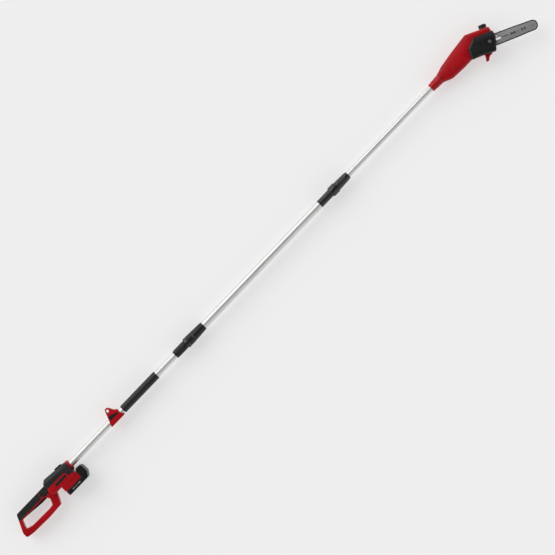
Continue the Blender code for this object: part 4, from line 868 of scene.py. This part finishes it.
def rear_trim():
    """Mouth ring, label plate, pad, trigger, lock-off button and screws."""
    rear, front = span("mouth_ring")
    r, bore = radius_of("mouth_ring"), radius_of("tube_lower") + FIT
    mouth = [(rear, bore), (rear, bore + 0.0029), (0.0603, bore + 0.0029), (0.0603, r - 0.0012),
             (0.0612, r - 0.0002), (0.0630, r), (front - 0.0036, r - 0.0004), (front - 0.0012, r - 0.0016),
             (front - 0.0002, r - 0.0034), (front, r - 0.0060), (front - 0.0008, bore + 0.0010),
             (front - 0.0012, bore)]
    piece("pole_mouth", turned(mouth, 96), RED, "root", ("mouth_ring",), TO_AXIS)
    low, high = span("label_plate", 2)
    label = plate(around(LABEL_EDGE), low, high - 0.0002, 0.0003, segments=3)
    piece("blank_label", label, LABEL, "root", ("label_plate",))
    low, high = span("top_pad", 2)
    pad = plate([(0.0094, 0.0262), (0.0415, 0.0253), (0.0415, 0.0297), (0.0380, 0.0312),
                 (0.0130, 0.0326), (0.0094, 0.0318)], low, high, 0.0012, (), 0.0012, 4)
    ribs = [box((x, 0.0285, low + 0.004), (x + 0.0012, 0.05, high - 0.004)) for x in
            (0.0145, 0.0190, 0.0235, 0.0280, 0.0325)]
    piece("rest_pad", cut(pad, *ribs), BLACK, "root", ("top_pad",), sharp=30.0)
    low, high = span("trigger", 2)
    px, py = -0.203, -0.0115
    blade = around([(px - 0.004, -0.0173, 0.002), (px + 0.030, -0.0205, 0.02), (-0.120, -0.0258, 0.02),
                    (-0.0935, -0.0260, 0.003), (-0.0932, -0.0162, 0.002), (-0.105, -0.0138, 0.004),
                    (px + 0.006, -0.0077, 0.002), (px - 0.004, -0.0077, 0.002)])
    lever = plate(blade, low, high, 0.0022, (), 0.0022, 5)
    pin = post(0.0017, -FAR, 0.1, px, py)
    piece("trigger_lever", cut(lever, pin), BLACK, "trigger", ("trigger",), sharp=30.0)
    lock_off()
    for name in ("housing_screw_1", "housing_screw_2", "housing_screw_3"):
        screw(name, "root")


def lock_off():
    """The button that crosses the grip, with ribbed ends."""
    low, high = span("lock_off_button", 2)
    x, y = middle("lock_off_button").xy
    body = plate(patch(x - 0.0095, y - 0.0035, x + 0.0095, y + 0.0035, 0.0024), low, high, 0.0014, (),
                 0.0014, 4)
    grooves = [box((x + k * 0.0026 - 0.0005, y - 0.0022, bottom), (x + k * 0.0026 + 0.0005, y + 0.0022, top))
               for k in range(-2, 3)
               for bottom, top in ((low - FAR, low + 0.0007), (high - 0.0007, high + FAR))]
    piece("lock_off_knob", cut(body, *grooves), BLACK, "lock_off", ("lock_off_button",),
          sharp=30.0)


def screw(node, body, sunk=0.0):
    """A pan-head screw with a lobed socket, sunk to where a rounded face falls away."""
    low, high = [height - sunk for height in span(node, 2)]
    x, y = middle(node).xy
    r = (span(node)[1] - span(node)[0]) / 2
    lobes = 6
    head = post(r, high - 0.0024, high, x, y, 0.0007)
    stem = post(r * 0.5, low, high - 0.0022, x, y)
    star = ring(x, y, lambda a: r * (0.46 + 0.08 * math.cos(a * lobes)), lobes * 6)
    bm = cut(head, plate(star, high - 0.0014, high + 0.002))
    piece(node + "_head", join(bm, stem), STEEL, body, (node,), sharp=32.0)


def battery():
    """The battery pack with its seams, grip ribs, latch and marks."""
    low, high = span("battery_case", 2)
    lower = around([(-0.017, -0.0655, 0), (-0.017, -0.086, 0.0055), (0.086, -0.086, 0.007),
                    (0.100, -0.066, 0.014), (0.100, -0.031, 0.010), (0.086, -0.0262, 0.006),
                    (0.0735, -0.0262, 0), (0.0668, -0.034, 0), (0.0668, -0.0655, 0)])
    bulk = plate(lower, low, high, 0.0048, (), 0.0048, 6)
    pocket = around([(0.004, -0.0715), (0.060, -0.0715), (0.064, -0.0790), (0.004, -0.0790)], 0.0022)
    face = around([(0.0725, -0.0360), (0.0905, -0.0360), (0.0935, -0.0420), (0.0935, -0.0640),
                   (0.0840, -0.0755), (0.0725, -0.0755)], 0.003)
    tools = []
    for bottom, top in ((low - FAR, low + 0.0008), (high - 0.0008, high + FAR)):
        tools += [plate(pocket, bottom, top), plate(face, bottom, top)]
        for x in [-0.0105 + k * 0.0026 for k in range(5)]:
            tools.append(box((x, -0.0775, bottom), (x + 0.0011, -0.0700, top)))
    for y in [-0.0375 - k * 0.0048 for k in range(6)]:
        tools.append(box((0.0992, y - 0.0016, AXIS - 0.022), (0.12, y, AXIS + 0.022)))
    latch_notch = box((0.0757, -0.0352, AXIS - 0.0123), (0.0863, -0.02, AXIS + 0.0123))
    bulk = cut(bulk, *tools, latch_notch)
    insert = cut(box((-0.0144, -0.068, 0.0027), (0.0705, -0.0411, 0.0733), 0.0012, 3),
                 box((-0.03, -0.0556, AXIS - 0.0172), (0.0132, -0.03, AXIS + 0.0172)))
    piece("battery_pack", join(bulk, insert), BLACK, "battery", ("battery_case",),
          sharp=32.0)
    for side, z in (("left", low + 0.0008), ("right", high - 0.0008)):
        marks = [box((x, -0.0772, z - 0.0001), (x + w, -0.0735, z + 0.0001), 0.00005, 1) for x, w in
                 ((0.0085, 0.010), (0.0215, 0.0022), (0.0265, 0.0022), (0.0315, 0.0022), (0.0385, 0.014))]
        piece("battery_marks_" + side, join(*marks), MARK, "battery")
    corner = around([(-0.0168, -0.0792, 0.0005), (-0.0168, -0.0858, 0.004), (-0.0060, -0.0858, 0.001),
                     (-0.0085, -0.0792, 0.001)])
    corners = join(plate(corner, low + 0.003, low + 0.0058, 0.0006, under=0.0006),
                   plate(corner, high - 0.0047, high - 0.0001, 0.0012, under=0.0004))
    piece("battery_corner", corners, RED, "battery")
    low, high = span("battery_latch", 2)
    catch = plate(around([(0.0762, -0.0310, 0.0006), (0.0858, -0.0310, 0.0006), (0.0858, -0.0268, 0.0012),
                          (0.0762, -0.0249, 0.0012)]), low, high, 0.0009, (), 0.0009, 3)
    ribs = [box((0.07, -0.0262, low + 0.004 + k * 0.004), (0.09, -0.02, low + 0.0052 + k * 0.004))
            for k in range(4)]
    piece("latch_key", cut(catch, *ribs), RED, "latch", ("battery_latch",), sharp=30.0)


# ---- Saw head ---------------------------------------------------------------------------------

# The head's top side, along the pole from its rear end, and its front end, along the bar.
HEAD_TOP = [(-0.020, -0.0199, 0), (-0.020, 0.0199, 0), (0.0, 0.0199, 0.004), (0.035, 0.0305, 0.03),
            (0.100, 0.0405, 0.06), (0.190, 0.0505, 0.012)]
HEAD_TAIL = [(0.030, 0.0605, 0.009), (0.074, 0.0600, 0.010), (0.0785, 0.034, 0.02),
             (0.063, -0.040, 0.009), (-0.034, -0.040, 0.009)]
COVER = [(-0.0370, 0.003, 0.010), (-0.0382, -0.0432, 0.008), (0.002, -0.0410, 0.05),
         (0.0655, -0.0446, 0.008), (0.0795, -0.003, 0.03), (0.0820, 0.0235, 0.02),
         (0.0795, 0.0374, 0.006), (-0.002, 0.0378, 0.010)]
BOLT = (0.0528, 0.0)        # the cover's bolt, along and across the bar
HEAD_WALL = 0.0090
CROWN_STEPS = 9


def on_bar(x, y):
    """A place given along and across the bar."""
    return BAR_ORIGIN + ALONG_BAR * x + ACROSS_BAR * y


def head_corners():
    """Side outline of the saw head."""
    start = HEAD_REAR
    top = [(start + x, y, r) for x, y, r in HEAD_TOP]
    tail = [(*on_bar(x, y), r) for x, y, r in HEAD_TAIL]
    return top + tail + [
        (start + 0.100, -0.0398, 0.05), (start + 0.037, -0.0362, 0.03), (start, -0.0199, 0.004)]


def crowned(corners, low, high, rise, inward):
    """A slab whose upper face swells in soft steps towards its middle."""
    rings = [[(*point, low) for point in around(corners)]]
    for k in range(CROWN_STEPS + 1):
        a = math.pi / 2 * k / CROWN_STEPS
        outline = around(grown(corners, -inward * (1 - math.cos(a))))
        rings.append([(*point, high - rise + rise * math.sin(a)) for point in outline])
    bm, loops = skin_over(rings)
    for _, edges in (loops[0], loops[-1]):
        bmesh.ops.triangle_fill(bm, edges=edges, use_beauty=True)
    return bm


def head_body():
    """The two red shells with their crowned faces and vents, the collar and the screws."""
    start, side = HEAD_REAR, HEAD_SIDE
    outline = head_corners()
    upper = crowned(outline, AXIS, side, 0.0115, 0.0150)
    under = crowned(outline, -AXIS, 0.0, 0.0150, 0.0150)
    bmesh.ops.scale(under, verts=under.verts, vec=(1, 1, -1))
    oil_neck = Matrix.Translation((*on_bar(0.052, 0.040), AXIS - 0.008)) @ Matrix.Rotation(
        TILT, 4, "Z") @ Matrix.Rotation(math.radians(90), 4, "Z")
    slope = ((start, 0.0010), (start + 0.19, 0.0290), 0.0260, 0.0090)
    heel = ((start - 0.0082, 0.0105), (start + 0.0412, -0.0015), (start - 0.0082, -0.0015))
    slit = around([(start + 0.1356, 0.0012, 0), (start + 0.1368, 0.0008, 0),
                   (start + 0.1248, -0.0332, 0), (start + 0.1236, -0.0328, 0)])
    tools = [plate(around(grown(outline, -0.0165)), HEAD_WALL, side - HEAD_WALL),
             rod(-0.012, 0.03, 0.0129, 48, oil_neck),
             box((start - 0.1, -0.1, -0.1), (start + 0.0002, 0.1, 0.2)),
             wedge(*slope, side), wedge(*slope, 0.0, -1.0),
             loft([[Vector((x, y, z)) for x, z in heel] for y in (-0.1, 0.1)]),
             rod(start - 0.02, start + 0.03, radius_of("tube_upper") + 0.0005, 72, TO_AXIS),
             *both_faces(slit, side, 0.0016)]
    for x, y, length in ((0.0445, -0.014, 0.016), (0.0650, -0.0153, 0.0145), (0.0745, -0.0162, 0.0135)):
        vent = patch(start + x - 0.0012, y - length / 2, start + x + 0.0012, y + length / 2, 0.0009, 4)
        tools += both_faces(vent, side, 0.012)
    upper = cut(upper, *[tool.copy() for tool in tools],
                post(0.0084, side - 0.01, side + 0.01, *SPROCKET),
                post(0.0040, side - 0.01, side + 0.01, *on_bar(*BOLT)),
                box((2.1, -0.3, 0), (2.6, 0.3, AXIS + SEAM)))
    under = cut(under, *tools, box((2.1, -0.3, AXIS - SEAM), (2.6, 0.3, 0.1)))
    piece("head_shells", join(upper, under), RED, "head",
          ("head_shell_left", "head_shell_right"), sharp=32.0)
    rear, front = span("head_collar")
    r = radius_of("head_collar")
    bore = radius_of("tube_upper") + FIT
    collar = [(rear, bore), (rear, r - 0.0052), (rear + 0.0015, r - 0.0037), (rear + 0.028, r - 0.0013),
              (rear + 0.0290, r - 0.0020), (rear + 0.0302, r - 0.0020), (rear + 0.0312, r - 0.0011),
              (front - 0.004, r - 0.0003), (front - 0.0010, r - 0.0002), (front, r - 0.0010), (front, bore)]
    bm = turned(collar, 96)
    for v in bm.verts:
        if v.co.x > rear + 0.031 and v.co.yz.length > r - 0.003:
            v.co.yz *= 1.0 - 0.0006 * (0.5 - 0.5 * math.cos(8 * math.atan2(v.co.z, v.co.y))) / r
    piece("pole_collar", bm, RED, "head", ("head_collar",), TO_AXIS)
    screw("head_screw_1", "head", 0.0052)
    screw("head_screw_2", "head", 0.0030)


def side_cover():
    """The black cover over the drive sprocket, its framed panels and its bolt."""
    low, high = span("chain_cover", 2)
    frame_left = around([(-0.0245, -0.0290), (0.0120, -0.0300), (0.0150, 0.0040), (-0.0225, 0.0095)], 0.006)
    frame_bolt = around([(0.0375, -0.0170), (0.0655, -0.0185), (0.0695, 0.0120), (0.0395, 0.0135)], 0.006)
    screw_way = Matrix.Translation((0.06, -0.0125, 0.0673))
    tools = [plate(around(grown(COVER, -0.0024)), low - FAR, high - 0.0080),
             plate([(-0.026, -0.033), (0.056, -0.034), (0.069, -0.003), (0.070, 0.013), (-0.022, 0.017)],
                   high - 0.0082, high - 0.0026),
             box((0.040, -0.0295, low - FAR), (0.120, 0.0285, BAR_Z + 0.005)),
             wedge((-0.04, 0.0195), (0.09, 0.0150), 0.0200, 0.0072, high),
             plate(frame_left, high - 0.0007, high + FAR), plate(frame_bolt, high - 0.0012, high + FAR),
             post(0.0044, 0.0, 0.1, *BOLT), rod(0.0, 0.035, 0.003, 24, screw_way)]
    panel = plate(grown(frame_left, -0.0014), high - 0.0010, high - 0.0001, 0.0004, segments=2)
    made = join(cut(crowned(COVER, low, high, 0.0075, 0.0095), *tools), panel)
    piece("sprocket_cover", made, BLACK, "head", ("chain_cover",), TO_BAR, 30.0)
    stud_low, stud_high = span("bar_stud", 2)
    stud = post(0.0035, stud_low, stud_high - 0.0006, *BOLT, 0.0005)
    star = ring(*BOLT, lambda a: 0.0015 + 0.0003 * math.cos(6 * a), 48)
    piece("cover_bolt", cut(stud, plate(star, stud_high - 0.003, stud_high + FAR)), STEEL, "head",
          ("bar_stud",), TO_BAR, 32.0)
    washer = cut(post(0.0066, high - 0.0011, high - 0.0002, *BOLT, 0.0003), post(0.0037, 0, 0.1, *BOLT))
    piece("cover_washer", washer, STEEL, "head", (), TO_BAR, 32.0)


def bar_half(x):
    """Half the height of the guide bar at a place along it."""
    stops = ((0.0, 0.0185), (0.014, 0.0192), (0.080, 0.0200), (0.150, 0.0192), (NOSE_ALONG, 0.0170))
    for (a, first), (b, second) in zip(stops, stops[1:]):
        if x <= b:
            t = (x - a) / (b - a)
            return first + (second - first) * (3 * t * t - 2 * t ** 3)
    return stops[-1][1]


def guide_bar():
    """Laminated bar with its chain groove, stud slot, holes, nose and printed marks."""
    low, high = span("guide_bar", 2)
    xs = [0.020 + (NOSE_ALONG - 0.020) * k / 40 for k in range(41)]
    upper = [Vector((0.014, bar_half(0.014) - 0.0014))] + [Vector((x, bar_half(x))) for x in xs]
    tip = [Vector((NOSE_ALONG + 0.017 * math.cos(a), 0.017 * math.sin(a))) for a in
           [math.pi / 2 - math.pi * k / 36 for k in range(1, 36)]]
    outline = upper + tip + [Vector((p.x, -p.y)) for p in reversed(upper)]
    stud_slot = patch(0.034, -0.0038, 0.101, 0.0038, 0.0036)
    holes = [stud_slot, ring(0.088, 0.0107, 0.0026, 32), ring(0.045, -0.0125, 0.0026, 32)]
    bm = plate(outline, low, high, 0.00035, holes, 0.00035, 2)
    groove = plate(grown(outline, 0.002), BAR_Z - 0.0007, BAR_Z + 0.0007,
                   holes=(grown(outline, -0.0058),))
    pocket = plate(ring(NOSE_ALONG, 0, 0.019, 48), BAR_Z - 0.0008, BAR_Z + 0.0008)
    window = plate(patch(NOSE_ALONG - 0.0030, -0.0020, NOSE_ALONG + 0.0030, 0.0020, 0.0019), low - FAR,
                   BAR_Z)
    piece("bar_blade", cut(bm, groove, pocket, window), BAR, "bar", ("guide_bar",), TO_BAR,
          30.0)
    rivets = []
    for x, y in ((-0.0105, 0.0), (0.0, 0.0), (0.0105, 0.0), (0.0, 0.0105), (0.0, -0.0105)):
        radius = 0.0011 if x or y else 0.0030
        for ends in ((low - 0.00018, low + 0.0002), (high - 0.0002, high + 0.00018)):
            rivets.append(post(radius, *ends, NOSE_ALONG + x * 0.62, y * 0.62, 0.00015, 24))
    piece("bar_rivets", join(*rivets), STEEL, "bar", (), TO_BAR)
    marks = []
    for x, tall, long in ((0.107, 0.0050, 0.005), (0.1135, 0.0050, 0.005), (0.120, 0.0050, 0.005),
                          (0.1265, 0.0050, 0.005), (0.142, 0.0080, 0.007), (0.150, 0.0080, 0.005),
                          (0.157, 0.0080, 0.007), (0.171, 0.0040, 0.004), (0.188, 0.0075, 0.008),
                          (0.199, 0.0075, 0.008)):
        block = around([(x, -tall / 2), (x + long, -tall / 2), (x + long + tall * 0.15, tall / 2),
                        (x + tall * 0.15, tall / 2)], min(tall, long) * 0.3, 3)
        line = patch(x, -tall / 2 - 0.0020, x + long * 0.7, -tall / 2 - 0.0013, 0.0002, 2)
        marks += [plate(shape, high - 0.00005, high + 0.00006) for shape in (block, line)]
    piece("bar_marks", join(*marks), PRINT, "bar", (), TO_BAR)


# ---- Chain and small parts of the head --------------------------------------------------------

CHAIN_EASE = 0.00015        # chamfer of the stamped links
TEETH = 6                   # of the drive sprocket and of the nose sprocket


def chain_line(offset):
    """The chain's closed line in steps, a distance outside the bar's rails."""
    gap = 0.0003 + offset
    top = [Vector((x, bar_half(x) + gap)) for x in
           [0.014 + (NOSE_ALONG - 0.014) * k / 60 for k in range(61)]]
    nose = [Vector((NOSE_ALONG, 0.0)) + Vector((math.cos(a), math.sin(a))) * (0.0170 + gap)
            for a in [math.pi / 2 - math.pi * k / 48 for k in range(1, 48)]]
    drive = [Vector((-0.006, 0.0)) + Vector((math.cos(a), math.sin(a))) * (0.0164 + gap)
             for a in [-math.pi / 2 - math.pi * k / 48 for k in range(49)]]
    return top + nose + [Vector((p.x, -p.y)) for p in reversed(top)] + drive


def link_place(points, lengths, at):
    """Frame of a chain link: X along the chain, Y away from the bar."""
    i = next(i for i in range(len(points)) if lengths[i + 1] >= at)
    first, second = points[i], points[(i + 1) % len(points)]
    along = (second - first).normalized()
    here = first + along * (at - lengths[i])
    return Matrix.Translation((*here, BAR_Z)) @ Matrix.Rotation(math.atan2(along.y, along.x), 4, "Z")


def saw_chain():
    """Every link of the chain: drive links, tie straps, cutters with depth gauges, and rivets."""
    points = chain_line(0.0013)
    lengths = [0.0]
    for first, second in zip(points, points[1:] + points[:1]):
        lengths.append(lengths[-1] + (second - first).length)
    count = 64                  # drive links and the pairs of straps between them
    pitch = lengths[-1] / count
    half = pitch / 2
    drive = around([(-half - 0.0018, -0.0008), (-half - 0.0018, 0.0016), (-half + 0.0010, 0.0026),
                    (half - 0.0010, 0.0026), (half + 0.0018, 0.0016), (half + 0.0018, -0.0008),
                    (0.0010, -0.0048), (-0.0016, -0.0048)], 0.0008, 3)
    strap = around([(-half - 0.0021, -0.0011), (half + 0.0021, -0.0011), (half + 0.0021, 0.0011),
                    (half - 0.0004, 0.0019), (-half + 0.0004, 0.0019), (-half - 0.0021, 0.0011)], 0.0010, 3)
    cutter = around([(-half - 0.0021, -0.0013), (half + 0.0021, -0.0013), (half + 0.0024, 0.0018),
                     (half + 0.0008, 0.0030), (half - 0.0010, 0.0031), (half - 0.0016, 0.0018),
                     (half - 0.0026, 0.0018), (half - 0.0032, 0.0032), (-half - 0.0016, 0.0030),
                     (-half - 0.0022, 0.0012)], 0.0004, 2)
    roof = around([(half + 0.0016, 0.0027), (-half + 0.0036, 0.0032), (-half + 0.0036, 0.0025),
                   (half + 0.0016, 0.0020)], 0.0002, 2)
    drive, strap, cutter = [[(-p.x, p.y) for p in shape] for shape in (drive, strap, cutter)]

    def leaf(outline, side, near, far):
        """One stamped plate, between two distances from the chain's middle."""
        return plate(outline, *sorted((side * near, side * far)), CHAIN_EASE, under=CHAIN_EASE, segments=1)

    links = []
    for k in range(count):
        made = []
        if k % 2 == 0:
            made.append(plate(drive, -0.00062, 0.00062, CHAIN_EASE, segments=1))
        else:
            cutting_side = 1 if k % 4 == 1 else -1
            for side in (-1, 1):
                made.append(leaf(cutter if side == cutting_side else strap, side, 0.00072, 0.00185))
                if side == cutting_side:
                    made.append(leaf(roof, side, 0.0003, 0.0028))
        link = join(*made, post(0.0013, -0.0021, 0.0021, half, 0.0, 0.0003, 14))
        bmesh.ops.transform(link, matrix=link_place(points, lengths, (k + 0.5) * pitch), verts=link.verts)
        links.append(link)
    piece("chain_links", join(*links), CHAIN, "head", ("saw_chain",), TO_BAR, 40.0)


def wheel(tip, root, low, high, holes=()):
    """A sprocket with rounded teeth."""
    def reach(a):
        return root + (tip - root) * (0.5 + 0.5 * math.cos(a * TEETH)) ** 0.7

    return plate(ring(0.0, 0.0, reach, TEETH * 12), low, high, 0.0002, holes, 0.0002, 2)


def small_parts():
    """Drive sprocket, nose sprocket, hook and oil cap."""
    low, high = span("drive_sprocket", 2)
    drive = wheel(0.0148, 0.0108, low, high, (ring(0.0, 0.0, 0.0054, 40),))
    piece("drive_wheel", drive, CHAIN, "output", ("drive_sprocket",),
          Matrix.Translation((*SPROCKET, 0.0)))
    low, high = span("nose_sprocket", 2)
    piece("nose_wheel", wheel(0.0160, 0.0132, low, high), CHAIN, "nose",
          ("nose_sprocket",), Matrix.Translation((*NOSE, 0.0)))
    low, high = span("branch_hook", 2)
    fin = around([(0.0200, -0.0405, 0), (0.0190, -0.0560, 0.010), (0.0158, -0.0660, 0.0050),
                  (0.0195, -0.0706, 0.0050), (0.0268, -0.0686, 0.0050), (0.0315, -0.0590, 0.008),
                  (0.0390, -0.0510, 0.006), (0.0500, -0.0466, 0.003), (0.0500, -0.0405, 0)])
    hook = plate(fin, low, high, 0.0038, (), 0.0038, 6)
    piece("limb_hook", hook, RED, "head", ("branch_hook",), TO_BAR, 32.0)
    oil_cap()


def oil_cap():
    """Ribbed screw cap of the oil tank with a domed top."""
    low, high = 0.0626, 0.0775      # across the bar
    r = 0.0164
    profile = [(low, 0.0), (low, r - 0.0010), (low + 0.0008, r - 0.0002), (low + 0.0018, r),
               (high - 0.0042, r), (high - 0.0022, r - 0.0008), (high - 0.0008, r - 0.0028),
               (high - 0.0002, r - 0.0050), (high - 0.0002, 0.0)]
    profile = stretched_profile(profile, low + 0.0018, high - 0.0042, 10)
    bm = fluted(profile, 26, 0.0009, low + 0.0018, high - 0.0042, 156, None)
    height = sum(span("oil_cap", 2)) / 2
    place = TO_BAR @ Matrix.Translation((0.052, 0.0, height)) @ Matrix.Rotation(math.radians(90), 4, "Z")
    grip_bar = box((high - 0.0046, -0.0105, -0.0016), (high + 0.0001, 0.0105, 0.0016), 0.0006, 3)
    dish = turned(eased([(high - 0.0022, 0.0), (high - 0.0022, 0.0092), (high + 0.01, 0.0110),
                         (high + 0.01, 0.0)], 0.0004, 2), 72)
    piece("tank_cap", join(cut(bm, dish), grip_bar), BLACK, "oil_cap", ("oil_cap",), place,
          32.0)


# ---- The whole saw ----------------------------------------------------------------------------

INSIDE = {
    "control_board": BOARD, "terminal_block": GREY, "switch_module": GREY, "trigger_pin": STEEL,
    "battery_cells": SLEEVE, "lower_collet": GREY, "upper_collet": GREY, "guide_bush": GREY,
    "motor_can": STEEL, "gear_plate": STEEL, "bearing_low": STEEL, "bearing_high": STEEL,
    "motor_shaft": STEEL, "output_shaft": STEEL, "oil_tank": TANK, "oil_pump": GREY,
    "oil_cap_seal": RUBBER, "cover_nut": STEEL, "tension_screw": STEEL, "tension_block": STEEL,
}


def pole_saw():
    """All the new pieces, and the finishes of the CAD nodes that stay."""
    pole()
    strap_bracket()
    rear_housing()
    grip()
    rear_trim()
    battery()
    head_body()
    side_cover()
    guide_bar()
    saw_chain()
    small_parts()
    for node, finish in INSIDE.items():
        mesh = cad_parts[node].data
        mesh.materials.clear()
        mesh.materials.append(finish)


# ---- Surroundings -----------------------------------------------------------------------------

SKY_LOW, SKY_HIGH = 1.15, 0.12      # brightness near the horizon and overhead
SKY_BATTERY_SIDE = 0.62             # how much of it is left on the battery's side
# Each lamp: name, where its light comes from, strength, tint.
LAMPS = (
    ("key", (-0.3, 1.0, 0.85), 1.15, (1.0, 0.99, 0.98)),
    ("fill", (0.3, -1.0, 0.9), 0.30, (0.98, 0.99, 1.0)),
)
LAMP_SPREAD = math.radians(50.0)    # wide, so that the shadows are soft
FLOOR_PLACE = (1.2, 0.0, -0.001)
FLOOR_GLOW = 0.50                   # the paper's own light, which keeps it near white
CAMERA_PLACE = (1.179, -0.0805, 8.35)
CAMERA_TURN = math.radians(-46.2)
CAMERA_LENS = 135.0                 # long, so that the saw is seen without perspective


def sky():
    """A sky that is dim overhead and bright all round the horizon, like a tent of white cloth."""
    world = bpy.data.worlds.new("sky")
    world.use_nodes = True
    bpy.context.scene.world = world
    tent = Shading(world.node_tree, "Background")
    direction = tent.node("ShaderNodeTexCoord", output="Generated")
    up, top_side = [tent.node("ShaderNodeSeparateXYZ", {}, {0: direction}, axis) for axis in "ZY"]
    height = tent.node("ShaderNodeMapRange", {"interpolation_type": "SMOOTHSTEP"}, {
        "Value": up, "From Min": 0.30, "From Max": 0.93, "To Min": SKY_LOW, "To Max": SKY_HIGH})
    side = tent.node("ShaderNodeMapRange", {}, {
        "Value": top_side, "From Min": -0.5, "From Max": 0.5, "To Min": SKY_BATTERY_SIDE, "To Max": 1.0})
    tent.feed(Color=(1.0, 1.0, 1.0), Strength=height * side)


def floor():
    """A wide sheet of pale paper."""
    bm = bmesh.new()
    bmesh.ops.create_grid(bm, x_segments=1, y_segments=1, size=60.0)
    sheet = as_object("floor", bm)
    sheet.location = FLOOR_PLACE
    paper = Finish("floor_paper", Base_Color=(0.50, 0.50, 0.50, 1.0), Emission_Strength=FLOOR_GLOW,
                   Emission_Color=(1.0, 1.0, 1.0, 1.0), Specular_IOR_Level=0.0)
    paper.feed(Roughness=0.85 + paper.grain(0.3) * 0.1)
    sheet.data.materials.append(paper.material)


def lamps():
    """Two broad lights: one from the tool's top side, and a weak one from the other side."""
    for name, source, energy, tint in LAMPS:
        data = bpy.data.lights.new(name, "SUN")
        data.energy, data.color, data.angle = energy, tint, LAMP_SPREAD
        added(name, data).rotation_euler = Vector(source).to_track_quat("Z", "Y").to_euler()


def camera():
    """Looks straight down on the saw, turned so that the pole rises to the right."""
    lens = bpy.data.cameras.new("camera")
    lens.lens, lens.clip_start, lens.clip_end = CAMERA_LENS, 0.5, 20.0
    made = added("camera", lens)
    made.location = CAMERA_PLACE
    made.rotation_euler = (0.0, 0.0, CAMERA_TURN)
    bpy.context.scene.camera = made
    bpy.context.scene.view_settings.view_transform = "Standard"


pole_saw()
floor()
sky()
lamps()
camera()
